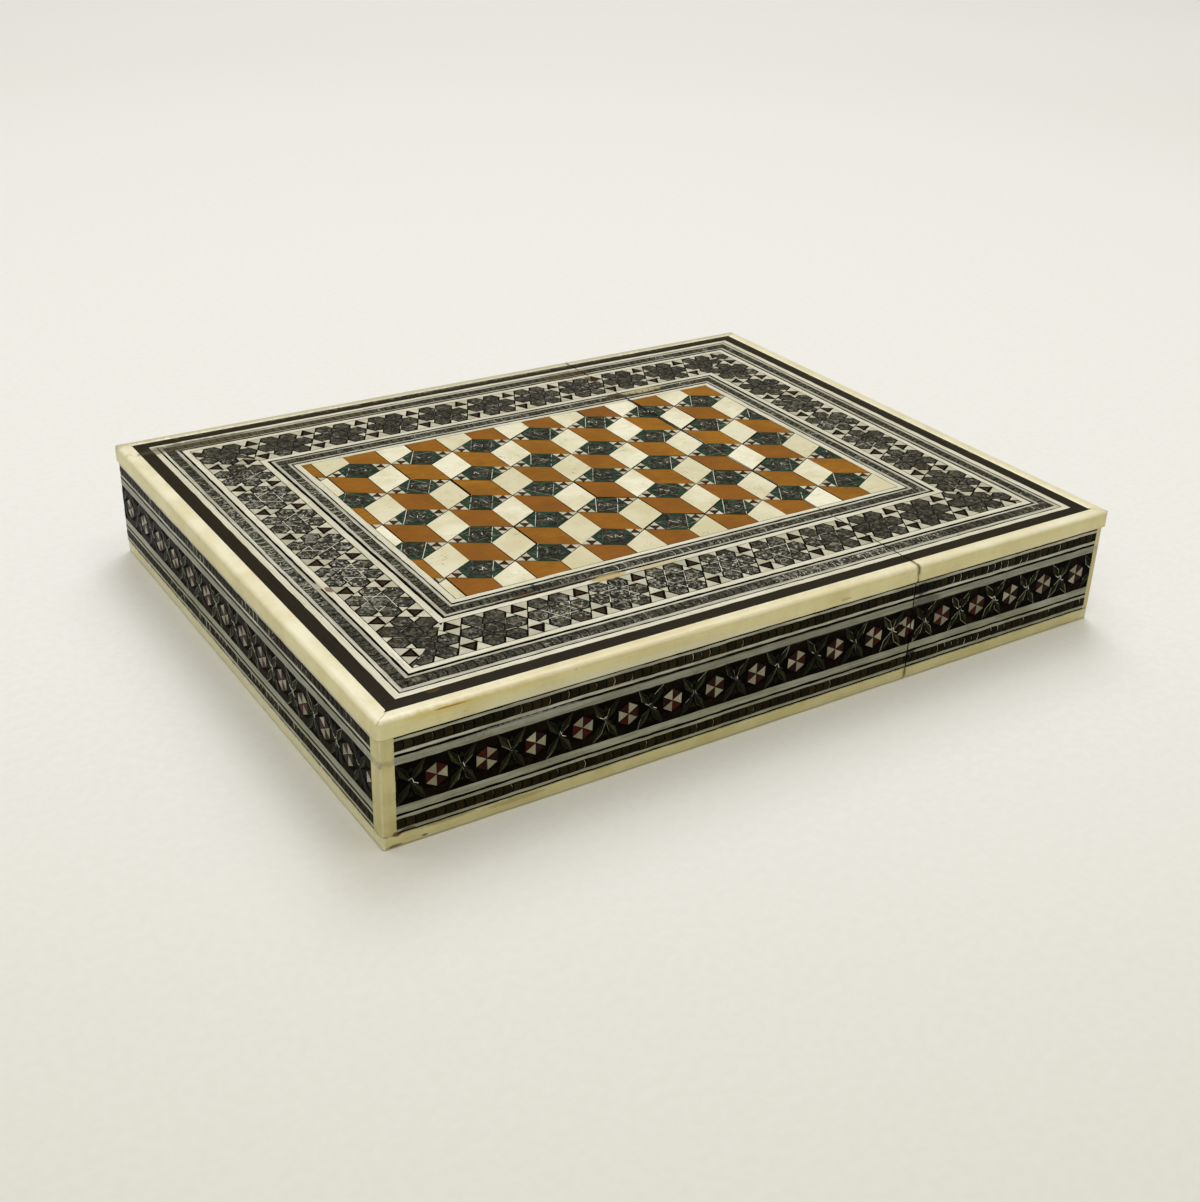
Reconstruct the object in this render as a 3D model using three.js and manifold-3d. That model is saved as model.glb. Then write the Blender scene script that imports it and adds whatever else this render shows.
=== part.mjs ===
// A mosaic card case, lying on its lower face: a case, and a lid that pulls off its end along +X.
// Units are millimetres. The origin is the centre of the footprint, on the surface it lies on.
// +X runs along the case towards the lid, +Y to the far side, and +Z up through the thickness.
import * as THREE from "three";
import { mergeVertices } from "three/addons/utils/BufferGeometryUtils.js";
import Module from "manifold-3d";

const wasm = await Module();
wasm.setup();

// Overall sizes
const LENGTH = 104;
const WIDTH = 82;
const THICKNESS = 15.8;
const SEAM_X = 19.3; // where the lid meets the case
const SEAM_GAP = 0.16;

// The carcass and its liner, which is also the neck that the lid slides on
const VENEER = 1;
const LINER = 1;
const CARD_ROOM = 8; // inside height of the liner
const NECK_REACH = 14; // how far the liner stands out of the case, into the lid
const NECK_CLEARANCE = 0.12; // between the liner and the lid's boards
const LINER_LEAD = 0.45; // rounding at the liner's mouth

// Bone edges. A pair is [width round the closed end, width along the sides]. `setIn` is how far a
// face's edges stand inside the outline, and `arris` the rounding of their outer corner.
const EDGE_FACE = [2, 1.65];
const UPPER_EDGE = { height: 2.25, setIn: 0, arris: 0.55 };
const LOWER_EDGE = { height: 1.65, setIn: 0.3, arris: 0.35 };
const EDGE_EASE = 0.1; // bevel where the bone meets the veneer
const FACE_PROUD = 0.04; // the bone stands this far above the veneer of the big faces
const SIDE_PROUD = 0.35; // and the upper edges this far beyond that of the sides
const ARC_STEPS = 6;

// Strips of the big faces, from the bone edge inwards, as the same pairs
const EBONY_BORDER = [[1.75, 1.65]];
const OUTER_STRINGS = [
  [0.85, 0.75], [0.15, 0.12], [0.5, 0.55], [1.2, 1.45], [0.5, 0.35], [0.25, 0.33], [0.85, 0.8],
];
const ROSETTE_BAND = [[6.9, 7.35]];
const INNER_STRINGS = [
  [0.85, 0.8], [0.35, 0.3], [0.5, 0.4], [1.1, 1.3], [0.45, 0.4], [0.15, 0.3], [0.85, 0.7],
];

// Strips of the sides, from the lower bone edge up
const SIDE_STRINGS = [0.15, 0.42, 1.14, 0.44, 0.2, 1, 5, 1, 0.22, 0.4, 1.18, 0.42, 0.33];

// The joint line between two strings
const STRING_JOINT = 0.05; // half its width
const STRING_RELIEF = 0.05; // its depth

// Corner posts: `along` is their size along X and `across` along Y. At a lapped corner the end's
// veneer runs past the post.
const POSTS = {
  case: { near: { along: 2, across: 2.4 }, far: { along: 2, across: 1.35, lapped: true } },
  lid: { near: { along: 1.4, across: 2.4 }, far: { along: 1.4, across: 2.4 } },
};
const POST_ARRIS = 0.45;

// The block pattern of the centre panel
const BLOCK_HALF_WIDTH = 4.59;
const BLOCK_RISE = 2.65; // from a rhomb's side corner up to its top corner
const BLOCK_UPRIGHT = 5.68; // length of an upright edge
const BLOCK_AT = [0.7, 0.35]; // centre of one rhomb, which sets the phase of the pattern
const HEXAGON_HALF_WIDTH = 2.39;
const TILE_JOINT = 0.07; // half the joint between two tiles
const TILE_RELIEF = 0.15; // depth of that joint
const SMALLEST_TILE = 0.4; // the border swallows a tile that it cuts to less than this, in mm2

const END = 0;
const SIDE = 1;
const total = (strips, way) => strips.reduce((sum, strip) => sum + strip[way], 0);
const insetAfter = (...groups) => [END, SIDE].map((way) => total(groups.flat(), way));
const halfLength = LENGTH / 2;
const halfWidth = WIDTH / 2;
const faceDepth = FACE_PROUD + VENEER; // from the outline to the carcass, on the big faces
const sideDepth = SIDE_PROUD + VENEER; // and on the sides
const insideDepth = (THICKNESS - CARD_ROOM) / 2 - LINER; // to the carcass's inner faces
const sideInsideDepth = insideDepth + SIDE_PROUD - FACE_PROUD;
const insideHalfWidth = halfWidth - sideInsideDepth;
const ebonyInset = EDGE_FACE;
const outerInset = insetAfter([EDGE_FACE], EBONY_BORDER);
const rosetteInset = insetAfter([outerInset], OUTER_STRINGS);
const innerInset = insetAfter([rosetteInset], ROSETTE_BAND);
const panelInset = insetAfter([innerInset], INNER_STRINGS);
const sideTop = THICKNESS - UPPER_EDGE.height;

const plain = (color, roughness, metalness = 0) =>
  new THREE.MeshStandardMaterial({ color, roughness, metalness });
const bone = plain(0xe9e2c0, 0.4);
const ebony = plain(0x2a221c, 0.45);
const stringing = plain(0xb9b8ac, 0.4, 0.3);
const rosettes = plain(0x4b4a42, 0.45);
const blocks = plain(0xb98a4e, 0.45);
const stars = plain(0x2b2a22, 0.4);
const carcassWood = plain(0xa9784a, 0.7);
const linerWood = plain(0xb98c5c, 0.7);

function group(...parts) {
  const made = new THREE.Group();
  made.add(...parts.flat());
  return made;
}

function piece(name, geometry, material) {
  const mesh = new THREE.Mesh(geometry, material);
  mesh.name = name;
  return mesh;
}

// A block between two opposite corners, given in any order.
function slab(a, b) {
  const size = a.map((value, i) => Math.abs(b[i] - value));
  const centre = a.map((value, i) => (b[i] + value) / 2);
  return new THREE.BoxGeometry(...size).translate(...centre);
}

function toManifold(geometry) {
  const bare = geometry.clone();
  bare.deleteAttribute("normal");
  bare.deleteAttribute("uv");
  const merged = mergeVertices(bare, 1e-4);
  return new wasm.Manifold(
    new wasm.Mesh({
      numProp: 3,
      vertProperties: merged.attributes.position.array,
      triVerts: new Uint32Array(merged.index.array),
    }),
  );
}

function fromManifold(solid) {
  const mesh = solid.getMesh();
  const geometry = new THREE.BufferGeometry();
  geometry.setAttribute("position", new THREE.BufferAttribute(mesh.vertProperties, 3));
  geometry.setIndex(new THREE.BufferAttribute(mesh.triVerts, 1));
  geometry.computeVertexNormals();
  return geometry;
}

// Sweeps a closed outline round the rim of a big face, with its face at z = 0. A point of the outline
// holds its inset at the closed end, its inset along the sides, and its depth. A station turns the
// two insets into [x, y], so a corner station makes a mitre.
function sweepRim(outline, stations) {
  const count = outline.length;
  const vertices = stations.flatMap((place) =>
    outline.flatMap(([atEnd, atSide, depth]) => [...place(atEnd, atSide), -depth]),
  );
  const triangles = [];
  for (let s = 0; s + 1 < stations.length; s++) {
    for (let i = 0; i < count; i++) {
      const a = s * count + i;
      const b = s * count + ((i + 1) % count);
      triangles.push(a, b, b + count, a, b + count, a + count);
    }
  }
  const section = outline.map(([atEnd, , depth]) => new THREE.Vector2(atEnd, depth));
  const last = (stations.length - 1) * count;
  for (const [a, b, c] of THREE.ShapeUtils.triangulateShape(section, [])) {
    triangles.push(c, b, a, last + a, last + b, last + c);
  }
  const geometry = new THREE.BufferGeometry();
  geometry.setAttribute("position", new THREE.Float32BufferAttribute(vertices, 3));
  geometry.setIndex(triangles);
  geometry.computeVertexNormals();
  return geometry;
}

// The four stations of a half's rim: mouth, corner, corner, mouth. `end` is -1 for a half that is
// closed at -X, and 1 for one that is closed at +X.
function rimStations(end, mouthX) {
  const x = (atEnd) => end * (halfLength - atEnd);
  const y = (atSide) => halfWidth - atSide;
  return [
    (_, atSide) => [mouthX, end * y(atSide)],
    (atEnd, atSide) => [x(atEnd), end * y(atSide)],
    (atEnd, atSide) => [x(atEnd), -end * y(atSide)],
    (_, atSide) => [mouthX, -end * y(atSide)],
  ];
}

// The section of a bone edge: a bar with a rounded outer corner, flat where the case lies on it.
function edgeSection({ height, setIn, arris }) {
  const section = [[setIn, setIn, height]];
  for (let i = ARC_STEPS; i >= 0; i--) {
    const turn = (Math.PI / 2) * (i / ARC_STEPS);
    const inset = setIn + arris * (1 - Math.sin(turn));
    section.push([inset, inset, arris * (1 - Math.cos(turn))]);
  }
  return [
    ...section.reverse(),
    [EDGE_FACE[END], EDGE_FACE[SIDE], height],
    [EDGE_FACE[END], EDGE_FACE[SIDE], FACE_PROUD + EDGE_EASE],
    [EDGE_FACE[END] - EDGE_EASE, EDGE_FACE[SIDE] - EDGE_EASE, 0],
  ].reverse();
}

// The section of strings laid side by side, with a fine groove at each joint.
function stringSection(start, strips) {
  const section = [[...start, FACE_PROUD]];
  let [atEnd, atSide] = start;
  strips.forEach((strip, i) => {
    atEnd += strip[END];
    atSide += strip[SIDE];
    if (i + 1 === strips.length) return;
    section.push(
      [atEnd - STRING_JOINT, atSide - STRING_JOINT, FACE_PROUD],
      [atEnd, atSide, FACE_PROUD + STRING_RELIEF],
      [atEnd + STRING_JOINT, atSide + STRING_JOINT, FACE_PROUD],
    );
  });
  section.push([atEnd, atSide, FACE_PROUD], [atEnd, atSide, faceDepth], [...start, faceDepth]);
  return section;
}

// Keeps the part of a convex polygon where nx * x + ny * y is at most `limit`.
function clip(polygon, nx, ny, limit) {
  return polygon.flatMap(([x0, y0], i) => {
    const [x1, y1] = polygon[(i + 1) % polygon.length];
    const d0 = nx * x0 + ny * y0 - limit;
    const d1 = nx * x1 + ny * y1 - limit;
    const kept = d0 <= 0 ? [[x0, y0]] : [];
    if (d0 * d1 < 0) {
      const t = d0 / (d0 - d1);
      kept.push([x0 + t * (x1 - x0), y0 + t * (y1 - y0)]);
    }
    return kept;
  });
}

// Moves each side of a convex, anticlockwise polygon inwards.
function shrink(polygon, distance) {
  return polygon.reduce((kept, [x0, y0], i) => {
    const [x1, y1] = polygon[(i + 1) % polygon.length];
    const run = Math.hypot(x1 - x0, y1 - y0);
    const [nx, ny] = [(y1 - y0) / run, (x0 - x1) / run];
    return clip(kept, nx, ny, nx * x0 + ny * y0 - distance);
  }, polygon);
}

// One block of the pattern, about the centre of its rhomb: two side faces below it, the hexagon
// inlaid in it, and the small triangles that are left at its two tips.
function blockTiles() {
  const w = BLOCK_HALF_WIDTH;
  const low = -BLOCK_RISE - BLOCK_UPRIGHT;
  const h = HEXAGON_HALF_WIDTH;
  const shoulder = BLOCK_RISE * (1 - h / w);
  return [
    [[0, -BLOCK_RISE], [-w, 0], [-w, -BLOCK_UPRIGHT], [0, low]],
    [[0, low], [w, -BLOCK_UPRIGHT], [w, 0], [0, -BLOCK_RISE]],
    [[0, -BLOCK_RISE], [h, -shoulder], [h, shoulder], [0, BLOCK_RISE], [-h, shoulder], [-h, -shoulder]],
    [[-w, 0], [-h, -shoulder], [-h, shoulder]],
    [[w, 0], [h, shoulder], [h, -shoulder]],
  ];
}

// The centre panel between two x places: a ground with its tiles standing on it.
function blockPanel(x0, x1) {
  const top = halfWidth - panelInset[SIDE];
  const base = -FACE_PROUD - TILE_RELIEF;
  const pitch = [2 * BLOCK_HALF_WIDTH, BLOCK_RISE + BLOCK_UPRIGHT];
  const rows = Math.ceil(top / pitch[1]) + 1;
  const columns = Math.ceil(halfLength / pitch[0]) + 1;
  const borders = [[1, 0, x1], [-1, 0, -x0], [0, 1, top], [0, -1, top]];
  let panel = toManifold(slab([x0, -top, -faceDepth], [x1, top, base]));
  for (let row = -rows; row <= rows; row++) {
    for (let column = -columns; column <= columns; column++) {
      const x = BLOCK_AT[0] + (column + (row % 2 ? 0.5 : 0)) * pitch[0];
      const y = BLOCK_AT[1] + row * pitch[1];
      for (const tile of blockTiles()) {
        const placed = tile.map(([dx, dy]) => [x + dx, y + dy]);
        const cut = borders.reduce((kept, border) => clip(kept, ...border), placed);
        const corners = cut.map(([cx, cy]) => new THREE.Vector2(cx, cy));
        if (cut.length < 3 || THREE.ShapeUtils.area(corners) < SMALLEST_TILE) continue;
        const outline = shrink(cut, TILE_JOINT).map(([cx, cy]) => new THREE.Vector2(cx, cy));
        const prism = new THREE.ExtrudeGeometry(new THREE.Shape(outline), {
          depth: 2 * TILE_RELIEF,
          bevelEnabled: false,
        });
        panel = panel.add(toManifold(prism.translate(0, 0, base - TILE_RELIEF)));
      }
    }
  }
  return fromManifold(panel);
}

// A veneer for the sides, `run` long. Its face looks along -Y, and it starts at the origin along +X.
function sideVeneer(run) {
  const outline = [[0, LOWER_EDGE.height]];
  let height = LOWER_EDGE.height;
  for (const width of SIDE_STRINGS.slice(0, -1)) {
    height += width;
    outline.push([0, height - STRING_JOINT], [STRING_RELIEF, height], [0, height + STRING_JOINT]);
  }
  outline.push([0, sideTop], [VENEER, sideTop], [VENEER, LOWER_EDGE.height]);
  const shape = new THREE.Shape(outline.map(([depth, z]) => new THREE.Vector2(depth, z)));
  // The shape's x becomes depth along Y, its y becomes Z, and the extrusion runs along X.
  const turn = new THREE.Matrix4().makeBasis(
    new THREE.Vector3(0, 1, 0),
    new THREE.Vector3(0, 0, 1),
    new THREE.Vector3(1, 0, 0),
  );
  return new THREE.ExtrudeGeometry(shape, { depth: run, bevelEnabled: false }).applyMatrix4(turn);
}

// A bone post at the corner of the closed end `end` and the side `side` (-1 near, 1 far).
function cornerPost(end, side, { along, across, lapped }) {
  const place = (dx, dy) => [end * (halfLength - dx), side * (halfWidth - dy)];
  const outerX = lapped ? sideDepth : SIDE_PROUD;
  const shape = new THREE.Shape();
  shape.moveTo(...place(along, across));
  shape.lineTo(...place(outerX, across));
  if (lapped) {
    shape.lineTo(...place(outerX, SIDE_PROUD));
  } else {
    shape.lineTo(...place(outerX, SIDE_PROUD + POST_ARRIS));
    shape.quadraticCurveTo(...place(outerX, SIDE_PROUD), ...place(outerX + POST_ARRIS, SIDE_PROUD));
  }
  shape.lineTo(...place(along, SIDE_PROUD));
  shape.closePath();
  return new THREE.ExtrudeGeometry(shape, {
    depth: sideTop - LOWER_EDGE.height,
    bevelEnabled: false,
    curveSegments: ARC_STEPS,
  }).translate(0, 0, LOWER_EDGE.height);
}

// The pieces of one big face, lying with the face at z = 0 and looking up. `sides` names the pieces
// at -Y and +Y of that pose.
function buildFace(name, end, mouthX, edge, sides, posts, clearance) {
  const rim = rimStations(end, mouthX);
  const strip = (title, start, strips, material) =>
    piece(`${name}_${title}`, sweepRim(stringSection(start, strips), rim), material);
  const panelX = end * (halfLength - panelInset[END]);
  const bar = edgeSection(edge);
  const [first, last] = end < 0 ? sides : [...sides].reverse();

  // The board's outer layer stops at the rebate that holds the bone edges, and leaves room for the
  // corner posts.
  const inner = insideDepth - clearance;
  const x = (depth) => end * (halfLength - depth);
  const deep = toManifold(
    slab([x(sideDepth), sideDepth - halfWidth, -inner], [mouthX, halfWidth - sideDepth, -edge.height]),
  );
  const raised = toManifold(
    slab(
      [x(EDGE_FACE[END]), EDGE_FACE[SIDE] - halfWidth, -(edge.height + inner) / 2],
      [mouthX, halfWidth - EDGE_FACE[SIDE], -faceDepth],
    ),
  );
  const notches = posts
    .filter(({ lapped }) => !lapped)
    .map(({ side, along, across }) =>
      toManifold(
        slab([x(0), side * halfWidth, -THICKNESS], [x(along), side * (halfWidth - across), 0]),
      ),
    );
  const board = notches.reduce((wood, notch) => wood.subtract(notch), deep.add(raised));

  return group(
    piece(`${name}_board`, fromManifold(board), carcassWood),
    strip("ebony_border", ebonyInset, EBONY_BORDER, ebony),
    strip("outer_stringing", outerInset, OUTER_STRINGS, stringing),
    strip("rosette_band", rosetteInset, ROSETTE_BAND, rosettes),
    strip("inner_stringing", innerInset, INNER_STRINGS, stringing),
    piece(`${name}_block_panel`, blockPanel(Math.min(panelX, mouthX), Math.max(panelX, mouthX)), blocks),
    piece(`${name}_${first}_edge`, sweepRim(bar, rim.slice(0, 2)), bone),
    piece(`${name}_end_edge`, sweepRim(bar, rim.slice(1, 3)), bone),
    piece(`${name}_${last}_edge`, sweepRim(bar, rim.slice(2, 4)), bone),
  );
}

// One half of the case. `end` is -1 if its closed end is at -X, and 1 at +X. The lid's boards keep
// `clearance` from the liner.
function buildHalf(name, end, mouthX, clearance) {
  const corners = [
    { ...POSTS[name].near, side: -1, label: "near" },
    { ...POSTS[name].far, side: 1, label: "far" },
  ];
  const turned = corners.map((corner) => ({ ...corner, side: -corner.side }));
  const upper = buildFace(
    `${name}_upper`, end, mouthX, UPPER_EDGE, ["near", "far"], corners, clearance,
  );
  upper.position.z = THICKNESS;
  const lower = buildFace(
    `${name}_lower`, end, mouthX, LOWER_EDGE, ["far", "near"], turned, clearance,
  );
  lower.rotation.x = Math.PI;

  // The walls stand between the two boards. The end wall runs through to the corner posts, and the
  // side walls butt against it.
  const x = (depth) => end * (halfLength - depth);
  const floor = insideDepth - clearance;
  const ceiling = THICKNESS - floor;
  const endReach = ({ across, lapped }) => halfWidth - (lapped ? sideDepth : Math.max(across, sideDepth));
  const [near, far] = corners;
  const endWall = slab(
    [x(sideDepth), -endReach(near), floor],
    [x(sideInsideDepth - clearance), endReach(far), ceiling],
  );
  const sideWalls = corners.map(({ side, label }) =>
    piece(
      `${name}_${label}_wall`,
      slab(
        [x(sideInsideDepth - clearance), side * (insideHalfWidth + clearance), floor],
        [mouthX, side * (halfWidth - sideDepth), ceiling],
      ),
      carcassWood,
    ),
  );

  // Veneers of the sides run from post to mouth, and that of the end from post to post.
  const sideVeneers = corners.map(({ side, label, along }) => {
    const ends = [mouthX, x(along)];
    const veneer = sideVeneer(Math.abs(ends[0] - ends[1]));
    if (side > 0) veneer.rotateZ(Math.PI);
    veneer.translate(side * Math.max(...ends.map((place) => side * place)), side * (halfWidth - SIDE_PROUD), 0);
    return piece(`${name}_${label}_star_veneer`, veneer, stars);
  });
  const veneerReach = ({ across, lapped }) => halfWidth - (lapped ? SIDE_PROUD : across);
  const endVeneer = sideVeneer(veneerReach(near) + veneerReach(far)).rotateZ((end * Math.PI) / 2);
  endVeneer.translate(x(SIDE_PROUD), end < 0 ? veneerReach(far) : -veneerReach(near), 0);

  return group(
    upper,
    lower,
    piece(`${name}_end_wall`, endWall, carcassWood),
    sideWalls,
    sideVeneers,
    piece(`${name}_end_star_veneer`, endVeneer, stars),
    corners.map((corner) =>
      piece(`${name}_${corner.label}_corner_post`, cornerPost(end, corner.side, corner), bone),
    ),
  );
}

// The liner is a sleeve of four thin boards, glued into the case and standing out of its mouth. Each
// board's mouth is rounded on the outside, so that the lid finds its way on.
function buildLiner() {
  const start = sideInsideDepth - halfLength;
  const mouth = SEAM_X + NECK_REACH;
  const shape = new THREE.Shape();
  shape.moveTo(start, 0);
  shape.lineTo(mouth, 0);
  shape.lineTo(mouth, LINER - LINER_LEAD);
  shape.quadraticCurveTo(mouth, LINER, mouth - LINER_LEAD, LINER);
  shape.lineTo(start, LINER);
  shape.closePath();
  const boardOf = (title, width, turn, y, z) => {
    const board = new THREE.ExtrudeGeometry(shape, {
      depth: width,
      bevelEnabled: false,
      curveSegments: ARC_STEPS,
    });
    board.translate(0, 0, -width / 2).rotateX(turn).translate(0, y, z);
    return piece(`liner_${title}`, board, linerWood);
  };
  const middle = THICKNESS / 2;
  const rise = CARD_ROOM / 2;
  const reach = insideHalfWidth - LINER;
  return group(
    boardOf("upper", 2 * insideHalfWidth, Math.PI / 2, 0, middle + rise),
    boardOf("lower", 2 * insideHalfWidth, -Math.PI / 2, 0, middle - rise),
    boardOf("near", CARD_ROOM, Math.PI, -reach, middle),
    boardOf("far", CARD_ROOM, 0, reach, middle),
  );
}

export default group(
  buildHalf("case", -1, SEAM_X - SEAM_GAP / 2, 0),
  buildHalf("lid", 1, SEAM_X + SEAM_GAP / 2, NECK_CLEARANCE),
  buildLiner(),
);
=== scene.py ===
"""The looks of a mosaic card case, lying closed on a pale table.

The veneers are laid as the real ones are: tiles are sawn from sheets, set side by side in courses,
mitred at the corners, and sawn through at the seam where the lid comes off. Lengths are millimetres
on the bench, and ``deliver`` turns each finished piece into metres.
"""

import logging
import math
import random
from collections.abc import Callable, Iterator, Sequence
from contextlib import contextmanager
from dataclasses import dataclass
from enum import Enum
from functools import cache, partial

import bmesh
import bpy
from mathutils import Euler, Matrix, Vector, noise


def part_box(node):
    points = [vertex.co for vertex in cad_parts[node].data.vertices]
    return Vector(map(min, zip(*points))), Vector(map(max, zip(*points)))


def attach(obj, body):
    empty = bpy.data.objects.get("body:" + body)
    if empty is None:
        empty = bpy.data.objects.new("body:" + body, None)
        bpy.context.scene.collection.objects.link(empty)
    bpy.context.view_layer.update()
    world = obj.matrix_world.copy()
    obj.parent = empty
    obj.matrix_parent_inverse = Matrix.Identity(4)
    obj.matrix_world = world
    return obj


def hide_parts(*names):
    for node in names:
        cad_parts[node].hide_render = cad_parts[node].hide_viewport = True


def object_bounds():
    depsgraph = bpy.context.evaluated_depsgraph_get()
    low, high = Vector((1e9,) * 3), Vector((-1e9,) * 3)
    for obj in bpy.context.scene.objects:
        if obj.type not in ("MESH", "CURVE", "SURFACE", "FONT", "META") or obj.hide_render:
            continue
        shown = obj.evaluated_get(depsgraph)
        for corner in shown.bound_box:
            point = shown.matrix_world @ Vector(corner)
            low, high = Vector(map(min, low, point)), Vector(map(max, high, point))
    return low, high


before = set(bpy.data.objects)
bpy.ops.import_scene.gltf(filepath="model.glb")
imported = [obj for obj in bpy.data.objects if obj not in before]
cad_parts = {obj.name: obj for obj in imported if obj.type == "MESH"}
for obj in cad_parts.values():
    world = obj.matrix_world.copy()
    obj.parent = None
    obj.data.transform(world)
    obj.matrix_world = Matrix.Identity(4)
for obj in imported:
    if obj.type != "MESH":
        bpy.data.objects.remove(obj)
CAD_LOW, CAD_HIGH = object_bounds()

log = logging.getLogger("card_case")

MM = 0.001
HAIR = 0.01  # points no further apart than this count as being at one place
UPWARDS = 0.9  # a face looks up if its normal's z is above this
SHARP = math.radians(35)  # an edge between two faces is sharp from this angle on
HALVES = ("case", "lid")
Piece = bpy.types.Object
Point = tuple[float, float]
Widths = tuple[float, float]  # along an end of the case, and along a side
Colour = tuple[int, int, int]  # as seen on a screen, 0 to 255


# The bench: small jobs that every sub-assembly shares


def take(*pieces: Piece) -> None:
    """Selects these objects alone, the first one active."""
    bpy.ops.object.select_all(action="DESELECT")
    for piece in pieces:
        piece.select_set(True)
    bpy.context.view_layer.objects.active = pieces[0]


@contextmanager
def editing(piece: Piece) -> Iterator[None]:
    """Opens a piece in edit mode with all of it selected.

    Args:
        piece: The object.
    """
    take(piece)
    bpy.ops.object.mode_set(mode="EDIT")
    bpy.ops.mesh.select_mode(type="FACE")
    bpy.ops.mesh.select_all(action="SELECT")
    yield
    bpy.ops.object.mode_set(mode="OBJECT")


def pick_faces(piece: Piece, wanted: Callable[[bmesh.types.BMFace], bool]) -> None:
    """Selects the faces that pass a test, in edit mode.

    Args:
        piece: The object in edit mode.
        wanted: Says whether a face is picked.
    """
    bpy.ops.mesh.select_mode(type="FACE")
    mesh = bmesh.from_edit_mesh(piece.data)
    for face in mesh.faces:
        face.select_set(bool(wanted(face)))
    mesh.select_flush_mode()
    bmesh.update_edit_mesh(piece.data)


def pick_edges(piece: Piece, wanted: Callable[[Vector, Vector], bool]) -> None:
    """Selects the edges whose two ends pass a test, in edit mode.

    Args:
        piece: The object in edit mode.
        wanted: Says from the places of its ends whether an edge is picked.
    """
    bpy.ops.mesh.select_all(action="DESELECT")
    bpy.ops.mesh.select_mode(type="EDGE")
    mesh = bmesh.from_edit_mesh(piece.data)
    for edge in mesh.edges:
        edge.select_set(bool(wanted(*(vertex.co for vertex in edge.verts))))
    mesh.select_flush_mode()
    bmesh.update_edit_mesh(piece.data)


def settle(piece: Piece) -> Piece:
    """Applies an object's place, turn and scale to its mesh."""
    take(piece)
    bpy.ops.object.transform_apply(location=True, rotation=True, scale=True)
    return piece


def move(piece: Piece, matrix: Matrix) -> Piece:
    """Moves a piece's mesh, its object staying at the origin."""
    piece.data.transform(matrix)
    piece.data.update()
    return piece


def again(piece: Piece, matrix: Matrix | None = None) -> Piece:
    """Copies a piece, with a mesh of its own."""
    copy = piece.copy()
    copy.data = piece.data.copy()
    bpy.context.scene.collection.objects.link(copy)
    return move(copy, matrix) if matrix else copy


def join(name: str, pieces: Sequence[Piece]) -> Piece:
    """Joins pieces into the first of them, under a new name.

    Args:
        name: The new name.
        pieces: The pieces.

    Returns:
        The first piece, which now holds them all.
    """
    take(*pieces)
    if len(pieces) > 1:
        bpy.ops.object.join()
    pieces[0].name = pieces[0].data.name = name
    return pieces[0]


def drop(piece: Piece) -> None:
    """Throws away a piece that was only a pattern for others."""
    bpy.data.objects.remove(piece)


def thicken(depth: float) -> None:
    """Turns the sheet in edit mode into a slab that reaches down by ``depth``."""
    bpy.ops.mesh.extrude_region_move(TRANSFORM_OT_translate={"value": (0, 0, -depth)})
    bpy.ops.mesh.select_all(action="SELECT")
    bpy.ops.mesh.normals_make_consistent(inside=False)


def saw(piece: Piece, place: Sequence[float], outward: Sequence[float]) -> Piece:
    """Saws a piece through along a plane and closes the cut."""
    with editing(piece):
        bpy.ops.mesh.bisect(plane_co=place, plane_no=outward, use_fill=True, clear_outer=True)
    return piece


def cut_sheet(size: Point, steps: tuple[int, int], at: Sequence[float]) -> Piece:
    """Cuts a flat sheet of so many faces along X and Y, with its middle at a point."""
    bpy.ops.mesh.primitive_grid_add(x_subdivisions=steps[0], y_subdivisions=steps[1], size=1, location=at)
    sheet = bpy.context.active_object
    sheet.scale = (*size, 1)
    return settle(sheet)


def cut_bar(size: Sequence[float], at: Sequence[float], turn: float = 0.0) -> Piece:
    """Cuts a straight bar and turns it about its middle by so many radians."""
    bpy.ops.mesh.primitive_cube_add(size=1, location=at, rotation=(0, 0, turn))
    piece = bpy.context.active_object
    piece.scale = size
    return settle(piece)


def round_edges(width: float, segments: int) -> None:
    """Rounds the picked edges of the piece in edit mode."""
    bpy.ops.mesh.bevel(offset=width, segments=segments, profile=0.5, affect="EDGES")


def smooth(piece: Piece) -> Piece:
    """Shades a piece smoothly, apart from its sharp edges."""
    take(piece)
    bpy.ops.object.shade_smooth_by_angle(angle=SHARP)
    return piece


def polar(radius: float, degrees: float) -> Point:
    """The point at this distance and angle from the origin."""
    turn = math.radians(degrees)
    return radius * math.cos(turn), radius * math.sin(turn)


def turned(degrees: float) -> Matrix:
    """A turn about the face's normal."""
    return Matrix.Rotation(math.radians(degrees), 4, "Z")


def span(node: str) -> tuple[Vector, Vector]:
    """A CAD node's lowest and highest corner, in millimetres."""
    low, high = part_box(node)
    return low / MM, high / MM


# Finishes


def tint(colour: Colour) -> tuple[float, float, float, float]:
    """A screen colour as the linear one that shaders take."""
    shares = [channel / 255 for channel in colour]
    linear = [share / 12.92 if share <= 0.04045 else ((share + 0.055) / 1.055) ** 2.4 for share in shares]
    return (*linear, 1.0)


Socket = bpy.types.NodeSocket
Fed = object  # what an input is fed: a value, or another node's output
MIX_INPUTS = (0, 6, 7)  # where a Mix node takes its factor and its two colours
MIX_RESULT = 2  # where it puts out the mixed colour


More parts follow.
